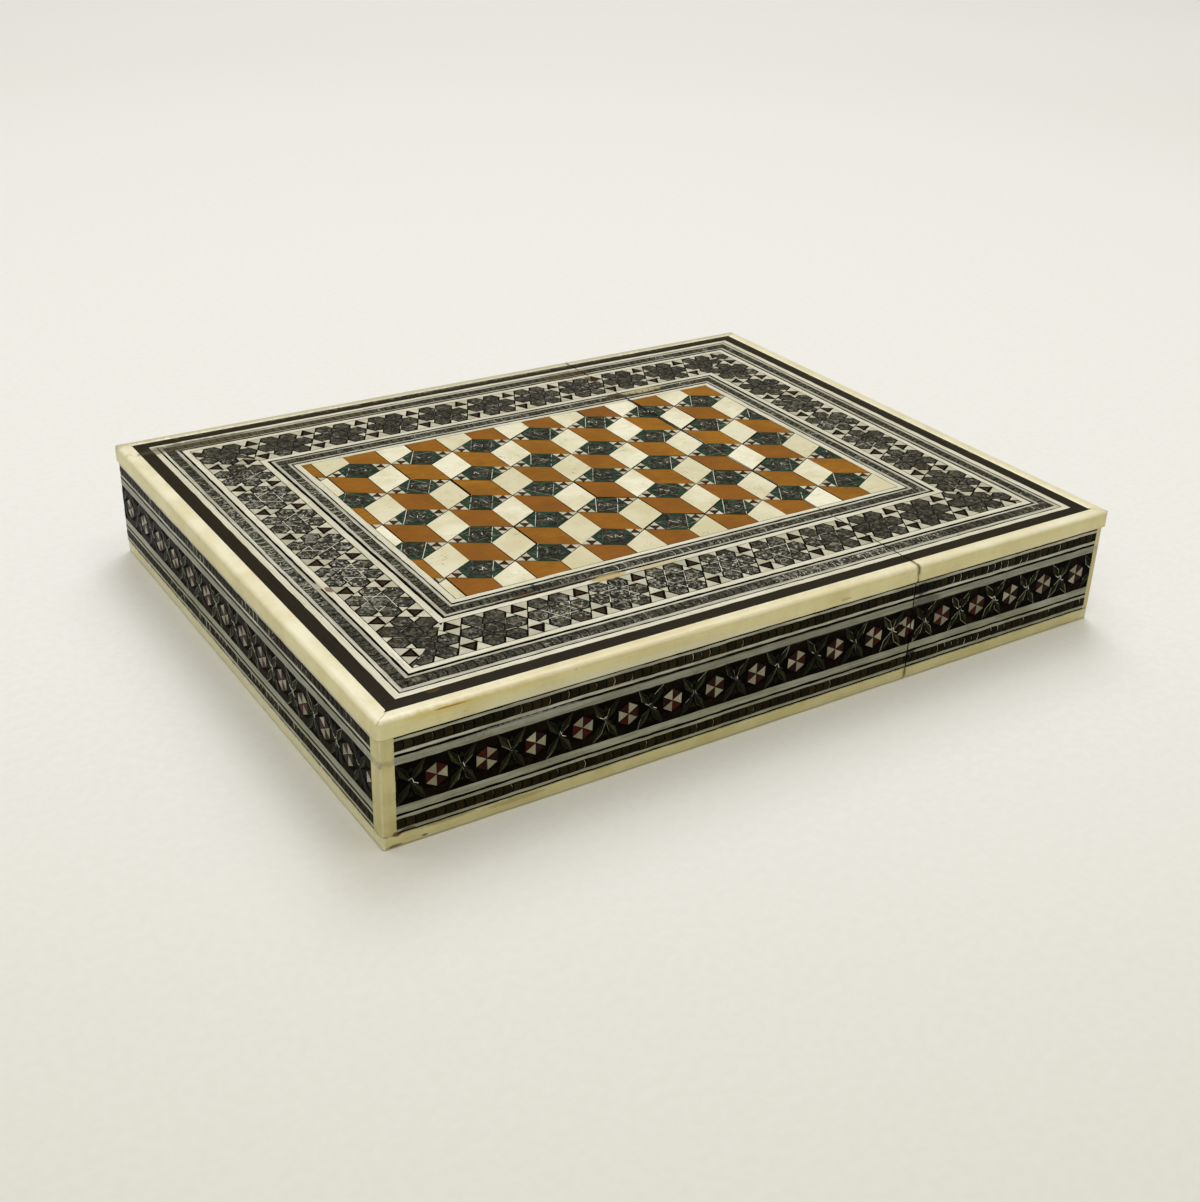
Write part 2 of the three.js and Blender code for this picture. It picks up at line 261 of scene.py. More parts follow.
class Wiring:
    """Lays nodes in one tree and wires them."""

    def __init__(self, tree: bpy.types.NodeTree) -> None:
        """Starts in a tree, beside the nodes that it has."""
        self.tree = tree
        self.step = 0

    def feed(self, socket: Socket, value: Fed) -> None:
        """Gives a socket its value, or wires another socket to it."""
        if isinstance(value, Socket):
            self.tree.links.new(value, socket)
        else:
            socket.default_value = value

    def lay(self, kind: str, options: dict | None = None, **sockets: Fed) -> bpy.types.Node:
        """Adds a node.

        Args:
            kind: The node's type, without its "ShaderNode" prefix.
            options: Its settings.
            sockets: What its inputs are fed, by name, with _ for a space.

        Returns:
            The node.
        """
        node = self.tree.nodes.new(f"ShaderNode{kind}")
        node.location = (200 * self.step, 0)
        self.step += 1
        for key, value in (options or {}).items():
            setattr(node, key, value)
        for name, value in sockets.items():
            self.feed(node.inputs[name.replace("_", " ")], value)
        return node

    def sum(self, operation: str, *values: Fed, clamp: bool = False) -> Socket:
        """Adds a Math node and returns its output."""
        node = self.lay("Math", {"operation": operation, "use_clamp": clamp})
        for socket, value in zip(node.inputs, values):
            self.feed(socket, value)
        return node.outputs[0]

    def vector(self, operation: str, *values: Fed, output: int = 0) -> Socket:
        """Adds a Vector Math node and returns one of its outputs."""
        node = self.lay("VectorMath", {"operation": operation})
        for socket, value in zip(node.inputs, values):
            self.feed(socket, value)
        return node.outputs[output]

    def mix(self, share: Fed, first: Fed, second: Fed, way: str = "MIX") -> Socket:
        """Mixes two colours by a share from 0 to 1 and returns the result.

        Args:
            share: How much of the second colour shows.
            first: The first colour.
            second: The second colour.
            way: How the second is laid over the first.

        Returns:
            The mixed colour.
        """
        node = self.lay("Mix", {"data_type": "RGBA", "blend_type": way})
        for index, value in zip(MIX_INPUTS, (share, first, second)):
            self.feed(node.inputs[index], value)
        return node.outputs[MIX_RESULT]

    def spread(self, value: Fed, low: float, high: float, most: float = 1) -> Socket:
        """Turns a value's range into one from 0 to ``most``, held within it and eased at both ends.

        Args:
            value: The value.
            low: Where the result is 0. It may lie above ``high``.
            high: Where it is ``most``.
            most: The highest result.

        Returns:
            The result.
        """
        node = self.lay("MapRange", {"interpolation_type": "SMOOTHSTEP"}, Value=value)
        for index, number in enumerate((low, high, 0, most), start=1):
            node.inputs[index].default_value = number
        return node.outputs[0]

    def noise(self, place: Fed, scale: float, detail: float = 3.0, roughness: float = 0.6) -> Socket:
        """Adds a noise texture and returns its value."""
        node = self.lay("TexNoise", Vector=place, Scale=scale, Detail=detail, Roughness=roughness)
        return node.outputs[0]

    def edges(self, place: Fed, scale: float) -> Socket:
        """Adds a cell texture and returns the distance to the nearest edge of a cell."""
        settings = {"feature": "DISTANCE_TO_EDGE"}
        node = self.lay("TexVoronoi", settings, Vector=place, Scale=scale, Randomness=1.0)
        return node.outputs["Distance"]

    def stretched(self, place: Fed, turn: float, scale: tuple[float, float, float]) -> Socket:
        """Turns a place about Z and stretches it, so that a noise on it runs in streaks."""
        return self.lay("Mapping", Vector=place, Rotation=(0.0, 0.0, turn), Scale=scale).outputs[0]

    def near(self, place: Fed, spot: "Spot", ragged: Fed) -> Socket:
        """Finds how much of a spot lies at a place."""
        options = {"vector_type": "TEXTURE"}
        mapped = self.lay("Mapping", options, Vector=place, Location=spot.at, Scale=spot.reach)
        away = self.vector("LENGTH", mapped.outputs[0], output=1)
        return self.spread(self.sum("MULTIPLY_ADD", ragged, 1.1, away), 1.65, 1.2, spot.strength)

    def group(self, tree: bpy.types.NodeTree, **sockets: Fed) -> bpy.types.Node:
        """Places a node group and feeds its inputs."""
        return self.lay("Group", {"node_tree": tree}, **sockets)


def new_group(name: str, inputs: dict[str, str], outputs: dict[str, str]) -> tuple:
    """Starts a node group.

    Args:
        name: The group's name.
        inputs: The kinds of its inputs, such as "Float", by name.
        outputs: The kinds of its outputs, by name.

    Returns:
        The tree, its wiring, its inputs' sockets and its outputs' sockets.
    """
    tree = bpy.data.node_groups.new(name, "ShaderNodeTree")
    for way, sockets in (("INPUT", inputs), ("OUTPUT", outputs)):
        for title, kind in sockets.items():
            tree.interface.new_socket(title, in_out=way, socket_type=f"NodeSocket{kind}")
    start = tree.nodes.new("NodeGroupInput")
    stop = tree.nodes.new("NodeGroupOutput")
    return tree, Wiring(tree), start.outputs, stop.inputs


@dataclass(frozen=True)
class Spot:
    """A ragged spot on the case."""

    at: tuple[float, float, float]  # its middle, in millimetres
    reach: tuple[float, float, float]  # how far it reaches along X, Y and Z
    strength: float  # how much it covers, 0 to 1
    colour: Colour = (92, 62, 32)  # its colour, where it is a stain, painted shade or a painted highlight


RUST: Colour = (70, 47, 16)
# Soot, and the painted shade in the seam between case and lid.
SOOT_AND_SEAM_SHADE: Colour = (20, 16, 11)
STRAW: Colour = (188, 174, 130)
HONEY: Colour = (186, 164, 108)
STAINS_AND_PAINTED_LIGHT = (
    Spot((15.6, 35.5, 15.8), (4.6, 1.5, 1.0), 0.75, (88, 70, 44)),
    Spot((19.1, 35.4, 15.8), (0.9, 0.8, 1.0), 0.95, RUST),
    Spot((18.8, 32.2, 15.8), (1.0, 1.3, 1.0), 0.95, RUST),
    Spot((18.1, 24.4, 15.8), (1.6, 1.0, 1.0), 0.9, RUST),
    Spot((23.2, 24.6, 15.8), (3.9, 0.8, 1.0), 0.9, STRAW),
    # Painted shade in the gap of the seam between case and lid, with dirt: a dark strip along it.
    Spot((19.1, 15.5, 15.8), (0.42, 9.5, 1.0), 1.0, SOOT_AND_SEAM_SHADE),
    Spot((-42.0, 36.0, 15.8), (9.0, 1.7, 1.0), 0.75, (84, 74, 52)),
    Spot((-26.0, 35.6, 15.8), (12.0, 1.0, 1.0), 0.4, (92, 82, 62)),
    Spot((-22.0, -24.6, 15.8), (11.0, 0.42, 1.0), 0.85, (46, 32, 20)),
    Spot((-14.8, -25.2, 15.8), (2.8, 0.7, 1.0), 0.9, HONEY),
    Spot((-25.6, -24.2, 15.8), (2.0, 0.55, 1.0), 0.8, RUST),
    Spot((-23.6, -23.4, 15.8), (0.35, 1.2, 1.0), 0.9, SOOT_AND_SEAM_SHADE),
    Spot((-8.0, -25.3, 15.8), (4.0, 0.5, 1.0), 0.6, HONEY),
    Spot((-44.9, -11.0, 15.8), (0.3, 1.0, 1.0), 0.7, (206, 198, 166)),
    Spot((-44.3, -12.4, 15.8), (0.4, 0.9, 1.0), 0.85, (104, 66, 26)),
    Spot((-44.2, -38.0, 15.8), (0.9, 0.35, 1.0), 0.8, (84, 56, 22)),
    Spot((-44.7, -35.2, 15.8), (0.5, 0.5, 1.0), 0.6, (150, 140, 120)),
    Spot((-44.2, -41.0, 15.25), (5.0, 0.9, 0.5), 0.5, (228, 202, 104)),
    Spot((-36.0, -41.0, 15.3), (4.0, 0.9, 0.4), 0.4, (226, 206, 128)),
    Spot((-43.8, -41.0, 15.38), (2.4, 0.9, 0.1), 0.9, (170, 118, 4)),
    # Painted reflection: a paler band low on the near rail's front, where the white table is mirrored.
    Spot((-22.0, -41.0, 13.9), (22.0, 0.9, 0.6), 0.45, (226, 224, 206)),
    Spot((-33.0, -41.0, 10.8), (9.0, 0.9, 0.5), 0.5, (198, 200, 188)),
    Spot((-50.1, -40.8, 1.65), (0.7, 0.7, 0.34), 0.9, (92, 56, 12)),
    Spot((-48.7, -40.8, 1.9), (1.0, 0.7, 0.3), 0.8, (62, 48, 22)),
    Spot((-51.7, -40.9, 0.9), (0.24, 0.5, 1.2), 0.9, (104, 62, 8)),
    Spot((-50.3, -40.9, 0.3), (1.0, 0.5, 0.26), 0.8, (96, 74, 24)),
    Spot((-46.9, -40.9, 0.5), (0.45, 0.5, 0.2), 0.8, (74, 60, 28)),
    Spot((-44.0, -41.0, 1.5), (4.5, 0.7, 0.25), 0.5, (120, 104, 52)),
    Spot((-36.0, -41.0, 1.2), (5.0, 0.7, 0.35), 0.35, (120, 92, 50)),
    Spot((20.4, -40.8, 12.2), (1.5, 1.0, 0.9), 0.9, SOOT_AND_SEAM_SHADE),
    Spot((21.3, -40.8, 10.5), (2.6, 1.0, 0.6), 0.75, (66, 62, 52)),
    Spot((19.8, -40.8, 3.2), (0.9, 1.0, 0.8), 0.9, SOOT_AND_SEAM_SHADE),
    Spot((8.0, -41.0, 14.2), (0.8, 0.8, 0.22), 0.4, (160, 126, 66)),
    # Painted shade on the far rail's top, which turns from the light; its edge lays a faint painted sheen
    # on the far ebony border.
    Spot((0.0, 41.3, 15.8), (90.0, 2.4, 2.4), 0.6, (162, 157, 128)),
    # Painted shade, with yellowing: the near rail's top is made darker and yellower.
    Spot((-14.0, -40.9, 15.8), (40.0, 1.5, 0.6), 0.35, (214, 196, 140)),
    # Darker on the lid end's rail top.
    Spot((51.9, 0.0, 15.8), (2.0, 60.0, 1.0), 0.35, (206, 194, 150)),
    Spot((-52.0, 0.0, 0.8), (0.9, 60.0, 1.3), 0.5, (250, 246, 220)),
    # Darker on the case-end face of the near corner post.
    Spot((-52.0, -40.2, 7.6), (0.6, 1.3, 9.0), 0.35, (190, 180, 126)),
    Spot((0.0, -41.0, 10.5), (80.0, 1.0, 0.7), 0.3, (78, 74, 54)),
    Spot((-52.0, 0.0, 10.5), (1.0, 60.0, 0.7), 0.4, (78, 74, 54)),
)
GLINTS = (
    Spot((-41.5, 4.0, 15.8), (9.0, 26.0, 3.0), 0.85),
    Spot((-8.0, -30.0, 15.8), (24.0, 5.0, 3.0), 0.75),
    Spot((14.0, -35.5, 15.8), (14.0, 1.5, 3.0), 0.9),
    Spot((-52.0, 0.0, 7.6), (1.0, 44.0, 6.0), 1.0),
    Spot((-20.0, -41.0, 7.6), (40.0, 1.0, 6.0), 0.5),
    Spot((32.0, -41.0, 7.6), (26.0, 1.0, 6.0), 1.0),
    Spot((0.0, 0.0, 15.8), (46.0, 30.0, 3.0), 0.5),
)


@cache
def stains_and_light_group() -> bpy.types.NodeTree:
    """The stains that age left, and some painted shade and painted highlights, each on its own spot.

    Returns:
        The node group.
    """
    tree, wiring, given, made = new_group(
        "Age", {"Place": "Vector", "Colour": "Color"}, {"Colour": "Color"}
    )
    ragged = wiring.noise(given["Place"], 1.5, 4.0)
    colour = given["Colour"]
    # Some of these spots are stains, others painted shade and painted highlights.
    for stain in STAINS_AND_PAINTED_LIGHT:
        colour = wiring.mix(wiring.near(given["Place"], stain, ragged), colour, tint(stain.colour))
    wiring.feed(made["Colour"], colour)
    return tree


@cache
def glint_group() -> bpy.types.NodeTree:
    """How brightly metal shines here: in patches, and most where the case lies towards the light.

    Returns:
        The node group.
    """
    tree, wiring, given, made = new_group("Glint", {"Place": "Vector"}, {"Glint": "Float"})
    ragged = wiring.noise(given["Place"], 0.35, 2.0)
    glint = wiring.spread(wiring.noise(given["Place"], 0.22, 2.0), 0.45, 0.7, 0.35)
    for spot in GLINTS:
        glint = wiring.sum("MAXIMUM", glint, wiring.near(given["Place"], spot, ragged))
    flicker = wiring.spread(wiring.noise(given["Place"], 1.1, 3.0), 0.32, 0.5)
    wiring.feed(made["Glint"], wiring.sum("MULTIPLY", glint, flicker))
    return tree


@cache
def grain_group() -> bpy.types.NodeTree:
    """The grain of a sheet: fine streaks along one axis, and large soft patches.

    Returns:
        The node group.
    """
    tree, wiring, given, made = new_group(
        "Grain", {"Place": "Vector", "Frequency": "Vector"}, {"Streaks": "Float", "Patches": "Float"}
    )
    stretched = wiring.vector("MULTIPLY", given["Place"], given["Frequency"])
    wiring.feed(made["Streaks"], wiring.spread(wiring.noise(stretched, 1.0, 5.0, 0.65), 0.35, 0.68))
    wiring.feed(made["Patches"], wiring.spread(wiring.noise(given["Place"], 0.16, 3.0), 0.38, 0.68))
    return tree


@cache
def handling_group() -> bpy.types.NodeTree:
    """What handling leaves: brown stains, fine scratches and a dulled shine, with the listed stains and
    the painted shade and highlights laid over them.

    Returns:
        The node group.
    """
    tree, wiring, given, made = new_group(
        "Handling",
        {"Place": "Vector", "Colour": "Color", "Stain": "Color", "Amount": "Float", "Shine": "Float"},
        {"Colour": "Color", "Roughness": "Float", "Height": "Float"},
    )
    blotch = wiring.noise(given["Place"], 0.55, 6.0, 0.7)
    stain = wiring.sum("MULTIPLY", wiring.spread(blotch, 0.6, 0.8), given["Amount"])
    pores = wiring.lay("TexVoronoi", Vector=given["Place"], Scale=0.8, Randomness=1.0)
    specks = wiring.spread(pores.outputs["Distance"], 0.1, 0.05)
    bent = wiring.noise(given["Place"], 0.3, 3.0, 0.5)
    from_middle = wiring.sum("ABSOLUTE", wiring.sum("SUBTRACT", bent, 0.5))
    cracks = wiring.spread(from_middle, 0.007, 0.002)
    cracks = wiring.sum("MULTIPLY", cracks, wiring.spread(blotch, 0.5, 0.58, 0.8))
    specks = wiring.sum("MULTIPLY", wiring.sum("MAXIMUM", specks, cracks), given["Amount"])
    scratched = wiring.stretched(given["Place"], 0.9, (0.25, 7.0, 1.0))
    scuffs = wiring.spread(wiring.noise(scratched, 1.0, 4.0, 0.75), 0.56, 0.7)
    dirt = wiring.sum("MAXIMUM", stain, specks, clamp=True)
    colour = wiring.mix(dirt, given["Colour"], given["Stain"])
    aged_and_shaded = wiring.group(stains_and_light_group(), Place=given["Place"], Colour=colour)
    wiring.feed(made["Colour"], aged_and_shaded.outputs[0])
    dull = wiring.sum("MULTIPLY_ADD", scuffs, 0.08, given["Shine"])
    wiring.feed(made["Roughness"], wiring.sum("MULTIPLY_ADD", dirt, 0.25, dull, clamp=True))
    sunk = wiring.sum("MULTIPLY", dirt, -0.6)
    wiring.feed(made["Height"], wiring.sum("MULTIPLY_ADD", scuffs, -0.35, sunk))
    return tree


@cache
def rod_group() -> bpy.types.NodeTree:
    """A sliced bundle of fine rods: each rod's shade, and the bent bright wires between the rods.

    Returns:
        The node group.
    """
    tree, wiring, given, made = new_group(
        "Rods",
        {"Place": "Vector", "Rods": "Float"},
        {"Shade": "Float", "Wire": "Float", "Speck": "Float"},
    )
    cells = wiring.lay("TexVoronoi", Vector=given["Place"], Scale=given["Rods"], Randomness=0.8)
    shade = wiring.lay("SeparateColor", Color=cells.outputs["Color"])
    bend = wiring.lay("TexNoise", Vector=given["Place"], Scale=0.8, Detail=2.0).outputs["Color"]
    bent = wiring.vector("MULTIPLY_ADD", bend, (1.6, 1.6, 1.6), given["Place"])
    curls = wiring.spread(wiring.edges(bent, 0.55), 0.05, 0.025, 0.4)
    strokes = wiring.spread(wiring.edges(bent, 0.95), 0.05, 0.02)
    kept = wiring.spread(wiring.noise(given["Place"], 1.4, 2.0), 0.5, 0.56)
    strokes = wiring.sum("MULTIPLY", strokes, kept)
    combed = wiring.stretched(given["Place"], -1.05, (0.35, 3.5, 3.0))
    combing = wiring.spread(wiring.noise(combed, 1.0, 1.0), 0.7, 0.74, 0.5)
    wiring.feed(made["Shade"], shade.outputs[0])
    wiring.feed(made["Wire"], wiring.sum("MAXIMUM", strokes, wiring.sum("MAXIMUM", curls, combing)))
    wiring.feed(made["Speck"], wiring.spread(shade.outputs[1], 0.945, 0.97))
    return tree


SHEETS_APART = (370, 590, 830)  # how far apart two tiles' sheets may lie


@dataclass(frozen=True)
class Surface:
    """What every material starts from."""

    material: bpy.types.Material  # the material
    wiring: Wiring  # the wiring of its nodes
    shader: bpy.types.Node  # its shader
    place: Socket  # the place on the case, in millimetres
    tone: Socket  # the tile's own tone, from 0 to 1
    turn: Socket  # whether the tile's long side lies along Y, 0 or 1

    @classmethod
    def start(cls, name: str) -> "Surface":
        """Starts a material.

        Args:
            name: Its name.

        Returns:
            What its nodes are wired to.
        """
        material = bpy.data.materials.new(name)
        material.use_nodes = True
        wiring = Wiring(material.node_tree)
        place = wiring.lay("VectorMath", {"operation": "SCALE"}, Scale=1 / MM)
        wiring.feed(place.inputs[0], wiring.lay("TexCoord").outputs["Object"])
        tile = wiring.lay("Attribute", {"attribute_name": "tile"}).outputs["Vector"]
        tone, turn, _ = wiring.lay("SeparateXYZ", Vector=tile).outputs
        shader = material.node_tree.nodes["Principled BSDF"]
        return cls(material, wiring, shader, place.outputs[0], tone, turn)

    def in_sheet(self) -> Socket:
        """Finds the place in the tile's own sheet.

        Returns:
            The place, with the tile's long side turned to X, far from where other tiles have theirs.
        """
        wiring = self.wiring
        quarter = wiring.stretched(self.place, math.pi / 2, (1.0, 1.0, 1.0))
        straight = wiring.mix(self.turn, self.place, quarter)
        tones = wiring.lay("CombineXYZ", X=self.tone, Y=self.tone, Z=self.tone).outputs[0]
        return wiring.vector("MULTIPLY_ADD", tones, SHEETS_APART, straight)

    def handle(self, ground: Fed, stain: Colour, stained: float, shine: float) -> Socket:
        """Feeds the shader a colour and a shine that show handling, with the listed stains and the painted
        shade and highlights among them.

        Args:
            ground: The colour without it.
            stain: The colour of stains and dirt.
            stained: How strongly they show, 0 to 1.
            shine: The roughness where it is polished.

        Returns:
            The height of the scratches and the dirt.
        """
        wear_and_highlight = self.wiring.group(
            handling_group(),
            Place=self.place,
            Colour=ground,
            Stain=tint(stain),
            Amount=stained,
            Shine=shine,
        )
        self.wiring.feed(self.shader.inputs["Base Color"], wear_and_highlight.outputs["Colour"])
        self.wiring.feed(self.shader.inputs["Roughness"], wear_and_highlight.outputs["Roughness"])
        return wear_and_highlight.outputs["Height"]

    def mirror(self, gloss: float) -> None:
        """Sets how strongly it mirrors, where 0.5 is usual."""
        self.shader.inputs["Specular IOR Level"].default_value = gloss

    def relief(self, pattern: Fed, rise: float, height: Fed, depth: float) -> None:
        """Feeds the shader a bump."""
        total = self.wiring.sum("MULTIPLY_ADD", pattern, rise, height)
        bump = self.wiring.lay("Bump", Height=total, Strength=0.6, Distance=depth * MM)
        self.wiring.feed(self.shader.inputs["Normal"], bump.outputs[0])


class Grain(Enum):
    """How a sheet's grain runs, as streaks for each millimetre along it, across it and upwards."""

    ALONG = (0.12, 4.5, 4.5)
    ACROSS = (4.0, 0.5, 4.0)
    UPRIGHT = (3.0, 3.0, 0.12)
    EVEN = (1.2, 3.0, 3.0)


@dataclass(frozen=True)
class Stock:
    """A plain stock that strings and tiles are sawn from."""

    name: str  # the material's name
    light: Colour  # its colour where the grain is pale
    dark: Colour  # its colour along the streaks of the grain
    other: Colour  # the colour that some of its tiles lean towards
    stain: Colour = (92, 62, 30)  # the colour of stains and dirt
    grain: Grain = Grain.EVEN  # how the grain runs
    streaks: float = 0.6  # how strongly the streaks show, 0 to 1
    leaning: float = 0.5  # how far a tile may lean to the other colour, 0 to 1
    stained: float = 0.3  # how strongly stains show, 0 to 1
    shine: float = 0.3  # the roughness where it is polished
    gloss: float = 0.3  # how strongly it mirrors, where 0.5 is usual
    relief: float = 0.02  # the depth of the grain, in millimetres

    @cache
    def material(self) -> bpy.types.Material:
        """The stock's material, made when it is first asked for.

        Returns:
            The material.
        """
        surface = Surface.start(self.name)
        wiring = surface.wiring
        grain = wiring.group(grain_group(), Place=surface.in_sheet(), Frequency=self.grain.value)
        streaks = wiring.sum("MULTIPLY", grain.outputs["Streaks"], self.streaks)
        patches = wiring.sum("MULTIPLY", grain.outputs["Patches"], 0.6 * self.leaning)
        lean = wiring.sum("MULTIPLY", surface.tone, self.leaning)
        ground = wiring.mix(lean, tint(self.light), tint(self.other))
        ground = wiring.mix(patches, ground, tint(self.dark))
        ground = wiring.mix(streaks, ground, tint(self.dark))
        height = surface.handle(ground, self.stain, self.stained, self.shine)
        surface.mirror(self.gloss)
        surface.relief(streaks, -0.5, height, self.relief)
        return surface.material


@dataclass(frozen=True)
class Wire:
    """The pewter wire between tiles, bright only where it catches the light."""

    name: str  # the material's name
    dull: Colour = (34, 31, 24)  # its colour where it is dull
    bright: Colour = (232, 229, 212)  # its colour where it shines
    few: float = 0.9  # the higher, the fewer wires shine in the same light
    gloss: float = 0.15  # how strongly it mirrors

    @cache
    def material(self) -> bpy.types.Material:
        """The wire's material, made when it is first asked for.

        Returns:
            The material.
        """
        surface = Surface.start(self.name)
        wiring, shader = surface.wiring, surface.shader
        glint = wiring.group(glint_group(), Place=surface.place).outputs[0]
        share = wiring.spread(wiring.sum("ADD", surface.tone, glint), self.few, self.few + 0.4)
        wiring.feed(shader.inputs["Base Color"], wiring.mix(share, tint(self.dull), tint(self.bright)))
        wiring.feed(shader.inputs["Roughness"], wiring.sum("MULTIPLY_ADD", share, -0.15, 0.45))
        surface.mirror(self.gloss)
        return surface.material


@dataclass(frozen=True)
class RodMosaic:
    """A tile sliced from a bundle of fine rods and wires."""

    name: str  # the material's name
    dark: Colour  # the darkest rods
    light: Colour  # the lightest rods
    wire: Colour = (232, 230, 214)  # the wires' colour
    stain: Colour = (46, 32, 18)  # the colour of stains and dirt
    stained: float = 0.3  # how strongly they show, 0 to 1
    rods: float = 3.2  # rods for each millimetre
    wires: float = 0.8  # how strongly the wires show, 0 to 1
    shadow: float = 0.15  # how strongly they still show where no light glints on them
    shine: float = 0.35  # the roughness where it is polished
    gloss: float = 0.05  # how strongly it mirrors
    relief: float = 0.012  # the height of the rods, in millimetres

    @cache
    def material(self) -> bpy.types.Material:
        """The mosaic's material, made when it is first asked for.

        Returns:
            The material.
        """
        surface = Surface.start(self.name)
        wiring = surface.wiring
        rods = wiring.group(rod_group(), Place=surface.place, Rods=self.rods)
        glint = wiring.group(glint_group(), Place=surface.place).outputs[0]
        glint = wiring.sum("MULTIPLY_ADD", glint, 1 - self.shadow, self.shadow)
        shade = wiring.sum("POWER", rods.outputs["Shade"], 2.5)
        share = wiring.sum("MULTIPLY_ADD", surface.tone, 0.2, wiring.sum("MULTIPLY", shade, 0.8))
        ground = wiring.mix(share, tint(self.dark), tint(self.light))
        wires = wiring.sum("MAXIMUM", rods.outputs["Wire"], rods.outputs["Speck"])
        wires = wiring.sum("MULTIPLY", wiring.sum("MULTIPLY", wires, glint), self.wires)
        ground = wiring.mix(wires, ground, tint(self.wire))
        height = surface.handle(ground, self.stain, self.stained, self.shine)
        surface.mirror(self.gloss)
        surface.relief(rods.outputs["Shade"], 0.5, height, self.relief)
        return surface.material


@cache
def crevice_group() -> bpy.types.NodeTree:
    """The dirty joints of the bone edges: their mitres, where they meet the veneer, and the seam.

    Returns:
        The node group.
    """
    tree, wiring, given, made = new_group("Crevices", {"Place": "Vector"}, {"Dirt": "Float"})
    size = (CAD_HIGH - CAD_LOW) / MM
    end_low, end_high = span("case_upper_end_edge")
    side_low, side_high = span("case_upper_near_edge")
    slope = (side_high.y - side_low.y) / (end_high.x - end_low.x)
    upper_ledge, lower_ledge = end_low.z, span("case_lower_end_edge")[1].z

    def off(value: Fed, other: Fed) -> Socket:
        """The distance between two numbers."""
        return wiring.sum("ABSOLUTE", wiring.sum("SUBTRACT", value, other))

    x, _, z = wiring.lay("SeparateXYZ", Vector=given["Place"]).outputs
    away = wiring.lay("SeparateXYZ", Vector=wiring.vector("ABSOLUTE", given["Place"])).outputs
    from_end = wiring.sum("MULTIPLY", wiring.sum("SUBTRACT", size.x / 2, away[0]), slope)
    mitre = off(from_end, wiring.sum("SUBTRACT", size.y / 2, away[1]))
    on_top = wiring.spread(z, size.z - 0.4, size.z - 0.1, 0.5)
    mitre = wiring.sum("MULTIPLY", wiring.spread(mitre, 0.12, 0.03), on_top)
    ledge = off(off(z, (upper_ledge + lower_ledge) / 2), (upper_ledge - lower_ledge) / 2)
    cut = off(x, side_high.x)
    joints = wiring.sum("MAXIMUM", mitre, wiring.spread(ledge, 0.16, 0.02, 0.7))
    joints = wiring.sum("MAXIMUM", joints, wiring.spread(cut, 0.5, 0.05, 0.8))
    uneven = wiring.spread(wiring.noise(given["Place"], 0.9, 4.0), 0.3, 0.6)
    wiring.feed(made["Dirt"], wiring.sum("MULTIPLY", joints, uneven))
    return tree


@dataclass(frozen=True)
class Bone:
    """Polished bone for the edges, yellowed and darkened by painted shade on its sides, lightened by a
    painted highlight along its rounded edges, and dirty in its joints.
    """

    name: str  # the material's name
    grain: Grain = Grain.ALONG  # how the grain runs
    light: Colour = (249, 243, 214)  # its colour on top
    dark: Colour = (226, 214, 172)  # its colour along the streaks
    aged_and_shaded: Colour = (243, 239, 209)  # what its colour is multiplied by where its face turns from up: yellowing, and painted shade on the sides
    wear_and_highlight: Colour = (248, 245, 226)  # its colour along the rounded edges: a painted highlight, and some polish from hands
    dirt: Colour = (104, 82, 46)  # the colour of the dirt in its joints
    stain: Colour = (186, 156, 96)  # the colour of stains
    stained: float = 0.3  # how strongly they show, 0 to 1
    shine: float = 0.3  # the roughness where it is polished
    gloss: float = 0.4  # how strongly it mirrors
    relief: float = 0.02  # the depth of the grain, in millimetres

    @cache
    def material(self) -> bpy.types.Material:
        """The bone's material, made when it is first asked for.

        Returns:
            The material.
        """
        surface = Surface.start(self.name)
        wiring = surface.wiring
        place = surface.in_sheet()
        grain = wiring.group(grain_group(), Place=place, Frequency=self.grain.value)
        streaks = wiring.sum("MULTIPLY", grain.outputs["Streaks"], 0.16)
        mottled = wiring.spread(wiring.noise(place, 0.3, 4.0, 0.6), 0.4, 0.7, 0.3)
        share = wiring.sum("ADD", streaks, mottled)
        share = wiring.sum("MULTIPLY_ADD", grain.outputs["Patches"], 0.45, share, clamp=True)
        ground = wiring.mix(share, tint(self.light), tint(self.dark))
        normal = wiring.lay("TexCoord").outputs["Normal"]
        facing = wiring.lay("SeparateXYZ", Vector=normal).outputs[2]
        # Painted shade: where the face turns from up, the colour is multiplied by a darker yellow, besides
        # the bone's own yellowing.
        ground = wiring.mix(wiring.spread(facing, 0.85, 0.25), ground, tint(self.aged_and_shaded), "MULTIPLY")
        # Painted highlight: the rounded edges, where no axis of the normal leads, are made paler.
        flat = wiring.lay("SeparateXYZ", Vector=wiring.vector("ABSOLUTE", normal)).outputs
        flatness = wiring.sum("MAXIMUM", flat[0], wiring.sum("MAXIMUM", flat[1], flat[2]))
        ground = wiring.mix(wiring.spread(flatness, 0.97, 0.8, 0.25), ground, tint(self.wear_and_highlight))
        dirt = wiring.group(crevice_group(), Place=surface.place).outputs[0]
        ground = wiring.mix(dirt, ground, tint(self.dirt))
        height = surface.handle(ground, self.stain, self.stained, self.shine)
        surface.mirror(self.gloss)
        surface.relief(streaks, -0.5, height, self.relief)
        return surface.material


